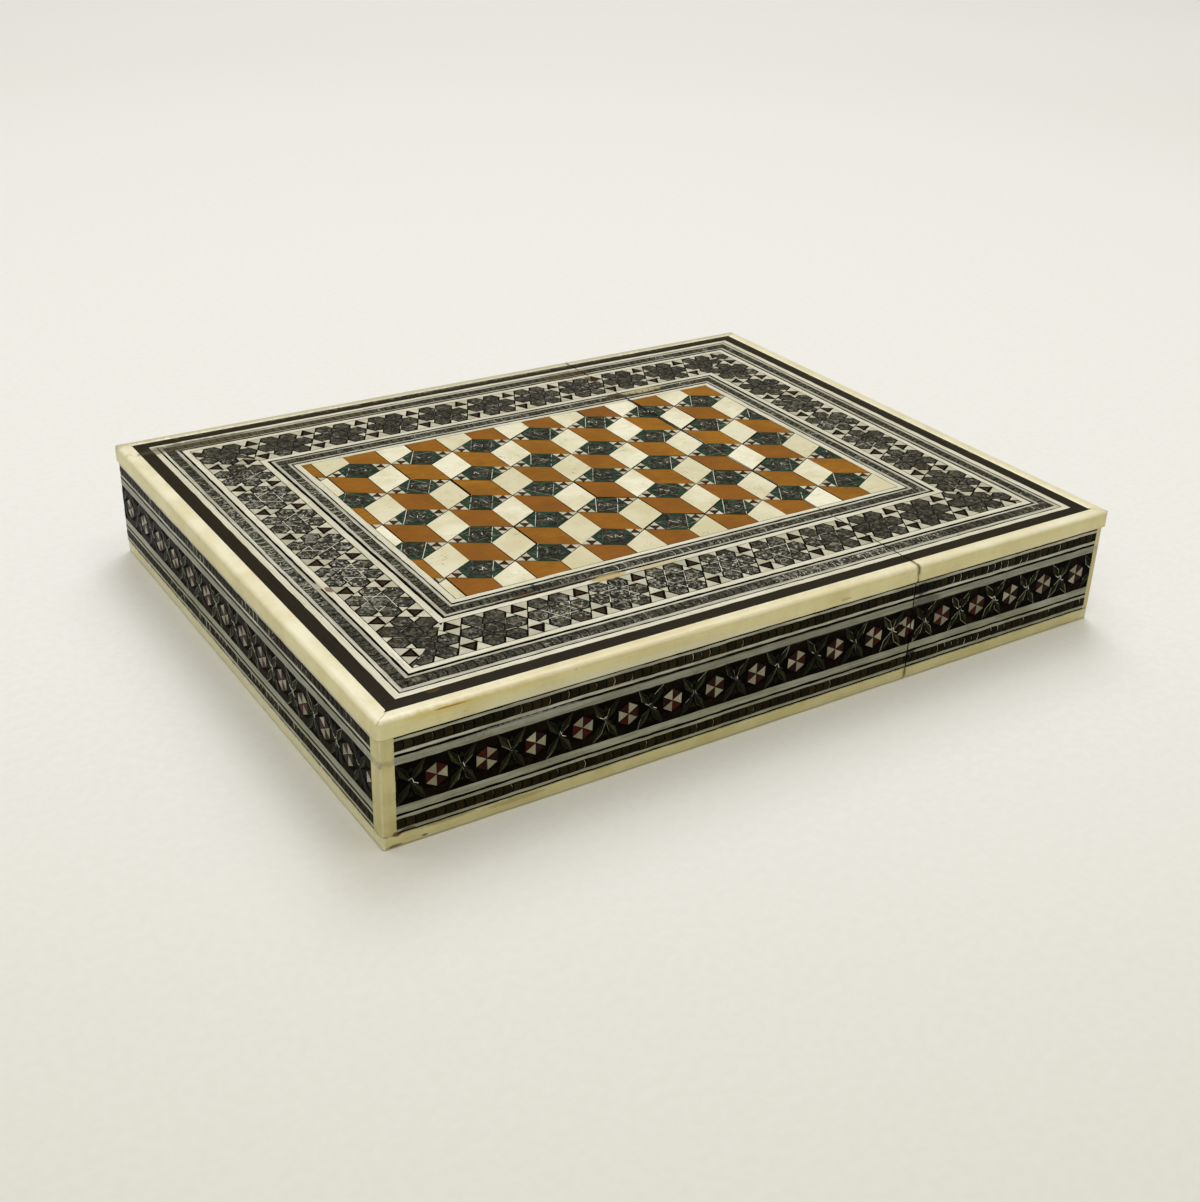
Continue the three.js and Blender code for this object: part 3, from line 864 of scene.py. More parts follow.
@dataclass(frozen=True)
class Backdrop:
    """The paper that the case lies on, with a faint tooth, and painted light: darker away from its middle,
    and paler far from the front.
    """

    inner: Colour = (241, 240, 238)  # its colour in the middle
    outer: Colour = (214, 214, 203)  # its colour round that
    far: Colour = (234, 232, 230)  # its colour far off
    middle: tuple[float, float, float] = (75.0, 148.0, 0.0)  # where its middle is
    reach: Widths = (177.0, 358.0)  # how far the inner colour reaches, and where the outer one starts
    front: tuple[float, float, float] = (-108.0, -166.0, 0.0)  # the point that the far colour is far from
    depth: Widths = (150.0, 735.0)  # how far from there it starts, and where it is there alone
    tooth_shade: Colour = (252, 252, 250)  # what its colour is multiplied by in the hollows of its tooth: painted shade
    roughness: float = 0.9  # how dull it is
    gloss: float = 0.1  # how strongly it mirrors

    def material(self) -> bpy.types.Material:
        """The paper's material.

        Returns:
            The material.
        """
        surface = Surface.start("backdrop_paper")
        wiring, shader = surface.wiring, surface.shader
        # Painted light: a falloff painted into the paper's colour, darker away from its middle and paler
        # far from the front.
        away = wiring.vector("DISTANCE", surface.place, self.middle, output=1)
        ground = wiring.mix(wiring.spread(away, *self.reach), tint(self.inner), tint(self.outer))
        behind = wiring.vector("DISTANCE", surface.place, self.front, output=1)
        ground = wiring.mix(wiring.spread(behind, *self.depth), ground, tint(self.far))
        # Painted shade in the hollows of the tooth.
        tooth_shade = wiring.spread(wiring.noise(surface.place, 0.9), 0.3, 0.7)
        wiring.feed(shader.inputs["Base Color"], wiring.mix(tooth_shade, ground, tint(self.tooth_shade), "MULTIPLY"))
        shader.inputs["Roughness"].default_value = self.roughness
        surface.mirror(self.gloss)
        return surface.material


Finish = Stock | Wire | RodMosaic | Bone | Backdrop
BONE_BAR = Bone("bone_bar")
BONE_LOWER = Bone("bone_lower_bar", light=(232, 226, 196), dark=(206, 196, 150))
BONE_POST = Bone("bone_post", Grain.UPRIGHT, (228, 222, 186), (196, 185, 140))
BONE_STRING = Stock(
    "bone_string", (236, 233, 214), (190, 182, 152), (214, 210, 188), grain=Grain.ALONG, streaks=0.55,
    stained=0.35,
)
BONE_TILE = Stock(
    "bone_tile", (255, 251, 230), (204, 193, 146), (216, 208, 172), grain=Grain.ACROSS,
    streaks=0.3, leaning=0.9, stained=0.7, stain=(140, 128, 84),
)
BONE_CHIP = Stock("bone_chip", (224, 221, 199), (160, 154, 125), (180, 178, 160), leaning=0.9, streaks=0.4)
BONE_BLADE = Stock("bone_blade", (180, 174, 148), (108, 102, 76), (122, 116, 92), leaning=0.9, streaks=0.4)
PEWTER = Stock(
    "pewter_string", (216, 215, 199), (128, 125, 104), (170, 169, 152), grain=Grain.ALONG, streaks=0.7,
    stained=0.5,
)
SIDE_STRING = Stock(
    "side_string", (196, 200, 184), (120, 118, 92), (158, 161, 142), grain=Grain.ALONG, streaks=0.8,
    leaning=0.9, stained=0.6, stain=(78, 62, 36),
)
SIDE_LINE = Stock(
    "side_line", (208, 208, 192), (126, 122, 98), (164, 163, 145), grain=Grain.ALONG, streaks=0.7,
    leaning=0.9, stained=0.6, stain=(78, 62, 36),
)
EBONY = Stock(
    "ebony_wood", (34, 29, 16), (46, 38, 23), (23, 18, 11), grain=Grain.ALONG, streaks=0.5, stained=0.2,
    gloss=0.04,
)
GLUE = Stock("glue_line", (11, 9, 5), (6, 5, 3), (24, 17, 9), shine=0.6, gloss=0.01)
ORANGE_WOOD = Stock(
    "orange_wood", (166, 112, 18), (118, 72, 12), (142, 86, 20), grain=Grain.ACROSS, streaks=0.5,
    leaning=0.9, stained=0.25, stain=(78, 44, 14), gloss=0.06,
)
BROWN_WOOD = Stock("brown_wood", (52, 32, 20), (24, 14, 8), (74, 46, 28), leaning=0.9, gloss=0.04)
CAP_WOOD = Stock("cap_wood", (15, 12, 6), (5, 4, 2), (30, 22, 10), leaning=0.9, gloss=0.01)
RED_WOOD = Stock("red_wood", (78, 20, 10), (20, 6, 4), (26, 10, 6), leaning=0.9, gloss=0.04)
GREEN_BONE = Stock("green_bone", (40, 84, 58), (14, 38, 27), (20, 52, 37), leaning=0.9, gloss=0.05)
DARK_GREEN = Stock("dark_green_horn", (68, 71, 43), (19, 21, 11), (33, 35, 19), leaning=0.9, gloss=0.02)
OLIVE = Stock("olive_horn", (25, 26, 12), (7, 7, 3), (40, 39, 20), leaning=0.9, gloss=0.01)
HORN = Stock("black_horn", (7, 6, 3), (3, 3, 2), (15, 12, 6), gloss=0.01)
WIRE = Wire("pewter_wire")
# An unlit copy of the pewter wire, darker and harder to glint: painted shade for wires turned from the
# light.
UNLIT_WIRE = Wire("unlit_wire", (24, 23, 17), (150, 150, 128), few=1.1)
PETAL = RodMosaic("petal_mosaic", (13, 12, 7), (80, 76, 56), wires=0.7)
HEART = RodMosaic("hexagon_mosaic", (10, 12, 8), (64, 66, 48), wires=0.3)
ROPE_DARK = RodMosaic("rope_mosaic", (13, 12, 7), (84, 79, 56), rods=5.0, wires=0.65)
ROPE_SIDE = Stock(
    "side_rope_wood", (54, 47, 20), (16, 13, 5), (28, 24, 10), grain=Grain.ACROSS, leaning=0.9,
    stained=0.5, stain=(8, 6, 3), gloss=0.02,
)
SANDALWOOD = Stock(
    "sandalwood", (186, 136, 84), (150, 98, 54), (170, 118, 68), grain=Grain.ALONG, streaks=0.8,
    stained=0.25, shine=0.6, relief=0.04,
)


# Tiles


def dress(piece: Piece, *finishes: Finish) -> Piece:
    """Gives a piece its finishes."""
    piece.data.materials.clear()
    for finish in finishes:
        piece.data.materials.append(finish.material())
    return piece


TILE_DEPTH = 0.4
JOINT = 0.03  # half the glue line between two tiles
WIDE_JOINT = 0.055  # the same, between the small white tiles
FINE_JOINT = 0.02  # the same, in the hexagons of the blocks
HAIR_JOINT = 0.01  # the same, where one stock runs on
WIRE_TOP = 0.012  # how far a wire stands up from the tiles


def ease(piece: Piece, width: float) -> None:
    """Eases the top edges of the tile in edit mode."""
    pick_faces(piece, lambda face: face.normal.z > UPWARDS)
    bpy.ops.mesh.inset(thickness=width, depth=0)
    bpy.ops.transform.translate(value=(0, 0, width / 2))


def saw_tile(outline: Sequence[Point], finish: Finish, eased: float = 0.0, joint: float = JOINT) -> Piece:
    """Saws a tile out of a sheet, along each side of its outline.

    Args:
        outline: Its corners, anticlockwise. They turn one way only.
        finish: What it is made of.
        eased: The width of the easing along its top edges.
        joint: How far each side is drawn in for the glue.

    Returns:
        The tile, with its top at z = 0.
    """
    centre = Vector([sum(values) / len(outline) for values in zip(*outline)])
    reach = max((Vector(corner) - centre).length for corner in outline)
    bpy.ops.mesh.primitive_plane_add(size=2.2 * reach, location=(*centre, -eased / 2))
    tile = settle(bpy.context.active_object)
    with editing(tile):
        for start, stop in zip(outline, [*outline[1:], outline[0]]):
            along = Vector(stop) - Vector(start)
            outward = Vector((along.y, -along.x, 0)).normalized()
            bpy.ops.mesh.select_all(action="SELECT")
            bpy.ops.mesh.bisect(
                plane_co=Vector((*start, 0)) - joint * outward, plane_no=outward, clear_outer=True
            )
        bpy.ops.mesh.select_all(action="SELECT")
        thicken(TILE_DEPTH)
        if eased:
            ease(tile, eased)
    return dress(tile, finish)


def regular_tile(sides: int, radius: float, turn: float, finish: Finish, joint: float = JOINT) -> Piece:
    """Makes a regular tile about the origin.

    Args:
        sides: How many sides it has.
        radius: The distance of its corners.
        turn: The angle of one corner, in degrees.
        finish: What it is made of.
        joint: How far each side is drawn in for the glue.

    Returns:
        The tile, with its top at z = 0.
    """
    bpy.ops.mesh.primitive_circle_add(
        vertices=sides, radius=radius - joint / math.cos(math.pi / sides), fill_type="NGON",
        rotation=(0, 0, math.radians(turn - 90)),
    )
    tile = settle(bpy.context.active_object)
    with editing(tile):
        thicken(TILE_DEPTH)
    return dress(tile, finish)


def lay_wire(
    start: Point, stop: Point, width: float, finish: Finish = WIRE, top: float = WIRE_TOP
) -> Piece:
    """Lays a fine wire on edge between two points.

    Args:
        start: One of them.
        stop: The other.
        width: The wire's width.
        finish: What it is made of.
        top: How far it stands up.

    Returns:
        The wire.
    """
    a, b = Vector(start), Vector(stop)
    size = ((b - a).length, width, TILE_DEPTH / 2)
    at = (*((a + b) / 2), top - TILE_DEPTH / 4)
    return dress(cut_bar(size, at, math.atan2(b.y - a.y, b.x - a.x)), finish)


def lay_bent_wire(points: Sequence[Point], width: float, top: float) -> list[Piece]:
    """Lays a bright wire that is bent at some points."""
    return [lay_wire(start, stop, width, top=top) for start, stop in zip(points, points[1:])]


def repeat(piece: Piece, count: int, pitch: float) -> Piece:
    """Sets a piece out in a row along X, centred on the origin.

    Args:
        piece: The first of the row.
        count: How many there are.
        pitch: The distance from one to the next.

    Returns:
        The row, in place of the piece.
    """
    row = piece.modifiers.new("row", "ARRAY")
    row.count = count
    row.use_relative_offset = False
    row.use_constant_offset = True
    row.constant_offset_displace = (pitch, 0, 0)
    take(piece)
    bpy.ops.object.modifier_apply(modifier=row.name)
    return move(piece, Matrix.Translation((-(count - 1) * pitch / 2, 0, 0)))


def islands(mesh: bpy.types.Mesh) -> list[int]:
    """Finds the separate solids of a mesh.

    Args:
        mesh: The mesh.

    Returns:
        For each vertex, the lowest vertex of its solid.
    """
    parent = list(range(len(mesh.vertices)))

    def root(i: int) -> int:
        """Follows a vertex to the lowest one that it is known to hang together with."""
        while parent[i] != i:
            parent[i] = parent[parent[i]]
            i = parent[i]
        return i

    for edge in mesh.edges:
        a, b = sorted(root(i) for i in edge.vertices)
        parent[b] = a
    return [root(i) for i in range(len(parent))]


def lay_by_hand(
    piece: Piece,
    seed: int,
    slip: float = 0.015,
    rise: float = 0.008,
    widest: float = 12.0,
    quarter: bool = False,
) -> Piece:
    """Gives each tile the small errors of hand work, and a tone of its own.

    Args:
        piece: The tiles, joined in one mesh.
        seed: What the errors are drawn from.
        slip: How far a tile may lie from its place.
        rise: How far a tile's edge may stand up.
        widest: A solid longer than this is a string, and only gets its tone.
        quarter: Whether the piece is still to be turned by a quarter.

    Returns:
        The piece.
    """
    mesh = piece.data
    draw = random.Random(seed)
    roots = islands(mesh)
    members: dict[int, list[int]] = {}
    for index, root in enumerate(roots):
        members.setdefault(root, []).append(index)
    tiles = {}
    for root, indices in members.items():
        places = [mesh.vertices[i].co for i in indices]
        low = Vector([min(values) for values in zip(*places)])
        high = Vector([max(values) for values in zip(*places)])
        radius = (high - low).length / 2
        tiles[root] = (draw.random(), float((high.y - low.y > high.x - low.x) != quarter), 0.0)
        lean = [draw.gauss(0, rise / radius) for _ in range(2)]
        turn = Euler([*lean, draw.gauss(0, slip / radius)]).to_matrix()
        aside = Vector((draw.gauss(0, slip / 2), draw.gauss(0, slip / 2), 0))
        if 2 * radius > widest:
            continue
        middle = Vector(((low.x + high.x) / 2, (low.y + high.y) / 2, high.z))
        for i in indices:
            vertex = mesh.vertices[i]
            vertex.co = middle + aside + turn @ (vertex.co - middle)
    tile = mesh.attributes.new("tile", "FLOAT_VECTOR", "FACE")
    values = [value for face in mesh.polygons for value in tiles[roots[face.vertices[0]]]]
    tile.data.foreach_set("vector", values)
    mesh.update()
    return piece


def wander(piece: Piece, seed: int, amount: float = 0.09, reach: float = 17.0) -> Piece:
    """Lets the courses of a face run a little out of true, all of them together.

    Args:
        piece: Part of the face, which lies flat.
        seed: The same for all parts of one face.
        amount: About how far a point strays.
        reach: How far along the face a stray bend is, from one to the next.

    Returns:
        The piece.
    """
    for vertex in piece.data.vertices:
        where = Vector((vertex.co.x / reach, vertex.co.y / reach, 7.3 * seed))
        stray = noise.noise_vector(where)
        vertex.co.x += amount * stray.x
        vertex.co.y += amount * stray.y
    return piece


@dataclass(frozen=True)
class Skew:
    """The panel and what borders it, set a little askew inside the ebony border."""

    aside: float = 0.25  # how far the middle lies off, across the case
    slope: float = 0.0048  # by how much less for each millimetre along it
    fixed: float = 38.5  # half the width at which nothing is off
    free: float = 34.0  # half the width within which it all lies off

    def set(self, piece: Piece) -> Piece:
        """Moves a piece's points across, by their place."""
        for vertex in piece.data.vertices:
            share = min(1, max(0, (self.fixed - abs(vertex.co.y)) / (self.fixed - self.free)))
            vertex.co.y += share * (self.aside - self.slope * vertex.co.x)
        return piece


def deliver(piece: Piece, half: str, slot: str, *nodes: str) -> Piece:
    """Hands a finished piece over.

    Args:
        piece: The piece.
        half: What it rides on, "case" or "lid".
        slot: The name of its material slot. It is not used.
        nodes: The CAD nodes that it stands for.

    Returns:
        The piece, in metres.
    """
    move(piece, Matrix.Scale(MM, 4))
    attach(piece, half)
    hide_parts(*nodes)
    log.info("%s: %d faces", piece.name, len(piece.data.polygons))
    return piece


# Sizes that the frame gives


class Side(Enum):
    """A side of a face, and the turn that brings a run from the near side to it."""

    NEAR = 0
    LID_END = 90
    FAR = 180
    CASE_END = -90

    @property
    def is_end(self) -> bool:
        """Whether it is one of the two short sides."""
        return self in (Side.LID_END, Side.CASE_END)

    @property
    def halves(self) -> tuple[str, ...]:
        """The halves of the case that it lies on."""
        return {Side.LID_END: ("lid",), Side.CASE_END: ("case",)}.get(self, HALVES)


@dataclass(frozen=True)
class Run:
    """One straight stretch of a course. It lies along X, with its outer edge on y = 0."""

    outer: float  # half its length at its outer edge
    inner: float  # half its length at its inner edge
    width: float  # its width

    def mitre(self, piece: Piece) -> Piece:
        """Saws both ends of a piece to the run's ends."""
        for way in (-1, 1):
            saw(piece, (way * self.outer, 0, 0), (way * self.width, self.outer - self.inner, 0))
        return piece


@dataclass(frozen=True)
class Outline:
    """The case's outer sizes."""

    half_length: float  # half the length of the closed case
    half_width: float  # half its width
    thickness: float  # its thickness
    seam: Point  # where the case ends and the lid starts, along X
    veneer_top: float  # the top of a face's veneer, from the face's bone edges
    veneer_back: float  # the veneer's back, likewise

    @classmethod
    def from_frame(cls) -> "Outline":
        """Reads the sizes from the CAD nodes.

        Returns:
            The sizes.
        """
        low, high = CAD_LOW / MM, CAD_HIGH / MM
        back, top = (corner.z - high.z for corner in span("case_upper_ebony_border"))
        return cls(
            half_length=(high.x - low.x) / 2,
            half_width=(high.y - low.y) / 2,
            thickness=high.z - low.z,
            seam=(span("case_upper_near_edge")[1].x, span("lid_upper_near_edge")[0].x),
            veneer_top=top,
            veneer_back=back,
        )

    def inset(self, node: str) -> Widths:
        """How far a node of the case's upper face lies inside the outline, at the end and at the sides."""
        low, high = span(node)
        return self.half_length + low.x, self.half_width - high.y

    def course(self, side: Side, start: Widths, stop: Widths) -> tuple[Run, Matrix]:
        """One side's run of a course, and where it goes once it is made.

        Args:
            side: Which side.
            start: The insets of the course's outer edge.
            stop: The insets of its inner edge.

        Returns:
            The run, and its place on the face.
        """
        along, across = (1, 0) if side.is_end else (0, 1)
        half = (self.half_length, self.half_width)
        run = Run(half[along] - start[along], half[along] - stop[along], stop[across] - start[across])
        reach = half[across] - start[across]
        return run, turned(side.value) @ Matrix.Translation((0, -reach, 0))

    @property
    def poses(self) -> dict[str, Matrix]:
        """Where each face goes that was made lying with the top of its bone on z = 0."""
        upper = Matrix.Translation((0, 0, self.thickness))
        return {"upper": upper, "lower": Matrix.Rotation(math.pi, 4, "X")}

    def part(self, piece: Piece, name: str, halves: Sequence[str] = HALVES) -> dict[str, Piece]:
        """Names a piece for the half it lies on, or saws it at the seam where it lies on both.

        Args:
            piece: The piece. It is used up.
            name: What its parts are called after "case_" and "lid_".
            halves: The halves that it lies on.

        Returns:
            Its parts, by their half.
        """
        parts = {half: piece for half in halves}
        if len(halves) > 1:
            parts["lid"] = again(piece)
            for sawn, x, way in zip(parts.values(), self.seam, (1, -1)):
                saw(sawn, (x, 0, 0), (way, 0, 0))
        for half, part in parts.items():
            part.name = part.data.name = f"{half}_{name}_laid"
        return parts


# Courses of the veneer


class Lay(Enum):
    """What a string is made of."""

    BONE = "bone"
    PEWTER = "pewter"
    PALE = "pale"
    EBONY = "ebony"
    ROPE = "rope"
    LINE = "line"


STRING_FINISH = {
    Lay.BONE: BONE_STRING,
    Lay.PEWTER: PEWTER,
    Lay.PALE: SIDE_STRING,
    Lay.LINE: SIDE_LINE,
    Lay.EBONY: HORN,
}
STRAND_STEP = 0.8  # a string bends at this spacing
HAND_CUT = 0.07  # how far a string's edge strays
STRING_JOINT = 0.07  # the glue line between two strings
GROUND_DROP = 0.035  # the glue in the joints lies this far below the tiles


def lay_strip(
    run: Run, width: float, finish: Stock, top: float = 0.0, depth: float = TILE_DEPTH
) -> Piece:
    """Lays a plain strip that fills a run.

    Args:
        run: The run.
        width: The strip's width, a little less than the run's for the joints.
        finish: What it is made of.
        top: The height of its top.
        depth: Its thickness.

    Returns:
        The strip.
    """
    steps = max(2, round(2 * run.outer / STRAND_STEP))
    strip = cut_sheet((2 * run.outer + run.width, width), (steps, 1), (0, run.width / 2, top))
    if width < run.width:
        for vertex in strip.data.vertices:
            where = Vector((vertex.co.x / 1.4, 9.1 * vertex.co.y, 4.7 * run.inner))
            vertex.co.y += HAND_CUT * noise.noise(where)
    with editing(strip):
        thicken(depth)
    return run.mitre(dress(strip, finish))


@dataclass(frozen=True)
class Rope:
    """A twisted string: short blocks, hollow at one end and round at the other, with a wire along it."""

    finish: Finish = ROPE_DARK  # what the blocks are made of
    pitch: float = 1.15  # the length of a block
    bow: float = 0.2  # how far its ends are curved
    gap: float = 0.13  # the dark line between two blocks
    wire: float = 0.06  # the width of the wire along its round end
    wire_top: float = 0.01  # how far the wire stands up
    easing: float = 0.05  # the easing of a block's top edges

    def bent_slab(self, length: float, width: float, middle: float, at: float, top: float) -> Piece:
        """Models a slab across the rope whose two long ends are bowed.

        Args:
            length: Its size along the rope.
            width: Its size across it.
            middle: The rope's middle line.
            at: Where its own middle lies along the rope.
            top: The height of its top.

        Returns:
            The slab.
        """
        slab = cut_sheet((length, width), (1, 4), (at, middle, top))
        for vertex in slab.data.vertices:
            across = 2 * (vertex.co.y - middle) / width
            vertex.co.x += self.bow * (1 - across * across)
        with editing(slab):
            thicken(TILE_DEPTH)
        return slab

    def block(self, width: float) -> Piece:
        """Models one block of the rope, with its wire.

        Args:
            width: The rope's width.

        Returns:
            The block.
        """
        inside = width - JOINT
        body = self.pitch - self.gap - self.wire
        block = self.bent_slab(body, inside, width / 2, 0, 0)
        with editing(block):
            ease(block, self.easing)
        wire = self.bent_slab(self.wire, inside, width / 2, (body + self.wire) / 2, self.wire_top)
        return join("rope_block", [dress(block, self.finish), dress(wire, WIRE)])

    def lay(self, run: Run) -> Piece:
        """Lays a rope that fills a run."""
        count = math.ceil(2 * run.outer / self.pitch) + 2
        return run.mitre(repeat(self.block(run.width), count, self.pitch))


@dataclass(frozen=True)
class Strings:
    """Strings laid side by side."""

    lays: tuple[Lay, ...]  # what each is made of, from the outer one inwards
    at_end: tuple[float, ...]  # their widths along the ends
    at_side: tuple[float, ...]  # their widths along the sides
    rope: Rope = Rope()  # the rope among them

    def lay(
        self, course: Callable[[Widths, Widths], tuple[Run, Matrix]], start: Widths
    ) -> list[Piece]:
        """Lays the strings along one side.

        Args:
            course: Gives the run between two insets, and its place.
            start: The insets where the first string starts.

        Returns:
            The strings.
        """
        laid = []
        here = start
        for kind, *widths in zip(self.lays, self.at_end, self.at_side):
            there = (here[0] + widths[0], here[1] + widths[1])
            run, place = course(here, there)
            if kind is Lay.ROPE:
                piece = self.rope.lay(run)
            else:
                piece = lay_strip(run, run.width - STRING_JOINT, STRING_FINISH[kind])
            laid.append(move(piece, place))
            here = there
        return laid


OUTER_STRINGS = Strings(
    (Lay.BONE, Lay.EBONY, Lay.PEWTER, Lay.ROPE, Lay.PEWTER, Lay.EBONY, Lay.BONE),
    (0.85, 0.15, 0.5, 1.2, 0.5, 0.25, 0.85),
    (0.75, 0.12, 0.55, 1.45, 0.35, 0.33, 0.8),
)
INNER_STRINGS = Strings(
    (Lay.BONE, Lay.EBONY, Lay.PEWTER, Lay.ROPE, Lay.PEWTER, Lay.EBONY, Lay.BONE),
    (0.85, 0.35, 0.5, 1.1, 0.45, 0.15, 0.85),
    (0.8, 0.3, 0.4, 1.3, 0.4, 0.3, 0.7),
)
SIDE_ROPE = Rope(ROPE_SIDE, gap=0.2, wire=0.035)
LOWER_SIDE_STRINGS = Strings(
    (Lay.EBONY, Lay.LINE, Lay.ROPE, Lay.LINE, Lay.EBONY, Lay.PALE),
    *[(0.18, 0.4, 1.14, 0.42, 0.24, 0.97)] * 2,
    SIDE_ROPE,
)
UPPER_SIDE_STRINGS = Strings(
    (Lay.PALE, Lay.EBONY, Lay.LINE, Lay.ROPE, Lay.LINE, Lay.EBONY),
    *[(0.98, 0.27, 0.42, 1.15, 0.4, 0.33)] * 2,
    SIDE_ROPE,
)


@dataclass(frozen=True)
class Rhythm:
    """Where the flowers of a run stand: unevenly, as the sheets were pieced."""

    first: float  # the flower nearest the middle of the run
    pitch: float  # the distance there between two flowers
    drift: float = 0.0  # how the distance grows along the run
    swing: float = 0.0  # how it grows towards both ends

    def at(self, step: float) -> float:
        """The place of a point so many flowers along."""
        return self.first + step * (self.pitch + step * (self.drift + step * self.swing))


RHYTHMS = {
    Side.NEAR: Rhythm(-0.5, 7.644, -0.0215, 0.0121),
    Side.FAR: Rhythm(-0.18, 7.83, 0.037),
    Side.CASE_END: Rhythm(2.03, 8.13),
    Side.LID_END: Rhythm(0.97, 8.11, -0.04),
}


@dataclass(frozen=True)
class Rosettes:
    """The band of flowers: six petals round a star, and white and brown triangles between the flowers.

    The flower is modelled with petals of side 1, so a flower and its gap are 6 long and 3 * sqrt(3) wide.
    """

    length: float = 6.0  # the length of a flower and its gap
    width: float = 3 * math.sqrt(3)  # its width
    heart: float = 0.98  # the size of the hexagon in a flower's middle, next to a petal's
    rounding: float = 0.16  # how far from its corners a petal's sides start to bend
    rim: float = 0.1  # the width of a petal's dark rim
    large: float = 1.5  # the side of the triangles between two flowers
    large_rim: float = 0.13  # the width of the dark rim round the brown ones
    wire: float = 0.06  # the width of the wires

    def set_triangles(
        self,
        side: float,
        finish: Finish,
        spots: Sequence[tuple[float, float, float]],
        joint: float = WIDE_JOINT,
    ) -> list[Piece]:
        """Sets one triangle at each spot, given as x, y and turn.

        Args:
            side: The length of their sides.
            finish: What they are made of.
            spots: The x, y and turn of each.
            joint: How far each side is drawn in for the glue.

        Returns:
            The triangles.
        """
        pattern = regular_tile(3, side / math.sqrt(3), 90, finish, joint)
        made = [again(pattern, Matrix.Translation((x, y, 0)) @ turned(turn)) for x, y, turn in spots]
        drop(pattern)
        return made

    def let_in(self, tile: Piece, rim: float, finish: Finish) -> Piece:
        """Lets another stock into a tile's top.

        Args:
            tile: The tile.
            rim: The width of the rim that is left round it.
            finish: The other stock.

        Returns:
            The tile.
        """
        tile.data.materials.append(finish.material())
        with editing(tile):
            pick_faces(tile, lambda face: face.normal.z > UPWARDS)
            bpy.ops.mesh.inset(thickness=rim, depth=0)
            tile.active_material_index = 1
            bpy.ops.object.material_slot_assign()
            bpy.ops.mesh.poke(offset=0.02)
        return tile

    def petal(self) -> Piece:
        """Makes a petal about the origin: a dark hexagon with rounded corners, and a mosaic let into it.

        Returns:
            The petal.
        """
        tile = regular_tile(6, 1, 0, HORN, HAIR_JOINT)
        with editing(tile):
            pick_edges(tile, lambda a, b: abs(a.z - b.z) > TILE_DEPTH / 2)
            round_edges(self.rounding, 2)
        return self.let_in(tile, self.rim, PETAL)

    def flower(self) -> Piece:
        """Sets one flower and the triangles round it, about the origin.

        Returns:
            The flower.
        """
        petal = self.petal()
        pieces = [again(petal, Matrix.Scale(self.heart, 4))]
        for turn in range(0, 360, 60):
            pieces.append(again(petal, turned(turn) @ Matrix.Translation((2, 0, 0))))
        drop(petal)
        rise = math.sqrt(3) / 2  # the height of a triangle of side 1
        star = [(*polar(2 / math.sqrt(3), turn), turn - 90) for turn in range(30, 390, 60)]
        pieces += self.set_triangles(1, PETAL, star, HAIR_JOINT)
        notches = [(0, way * rise * 8 / 3, 90 + 90 * way) for way in (-1, 1)]
        flanks = [(side * 2, way * rise * 4 / 3, 90 - 90 * way) for way in (-1, 1) for side in (-1, 1)]
        pieces += self.set_triangles(1, BONE_CHIP, notches + flanks)
        white = []
        brown = []
        for way in (-1, 1):
            white.append((3, way * rise, 90 + 90 * way))
            white += [(3 + side * self.large / 2, way * rise * 2.5, 90 + 90 * way) for side in (-1, 1)]
            brown.append((3, way * rise * 2, 90 - 90 * way))
        pieces += self.set_triangles(self.large, BONE_CHIP, white)
        for tile in self.set_triangles(self.large, HORN, brown):
            pieces.append(self.let_in(tile, self.large_rim, BROWN_WOOD))
        for turn in range(0, 360, 60):
            inner, point, after = polar(1, turn), polar(math.sqrt(3), turn + 30), polar(1, turn + 60)
            for start, stop in ((inner, point), (point, after), (inner, after)):
                pieces.append(lay_wire(start, stop, self.wire))
        return join("flower", pieces)

    def lay(self, flower: Piece, run: Run, rhythm: Rhythm) -> Piece:
        """Sets flowers along a run.

        Args:
            flower: The flower, which is copied.
            run: The run.
            rhythm: Where they stand.

        Returns:
            The band.
        """
        count = 2 * math.ceil(run.outer / rhythm.pitch) + 3
        band = repeat(again(flower), count, self.length)
        for vertex in band.data.vertices:
            vertex.co.x = rhythm.at(vertex.co.x / self.length)
            vertex.co.y = (vertex.co.y / self.width + 0.5) * run.width
        return run.mitre(band)


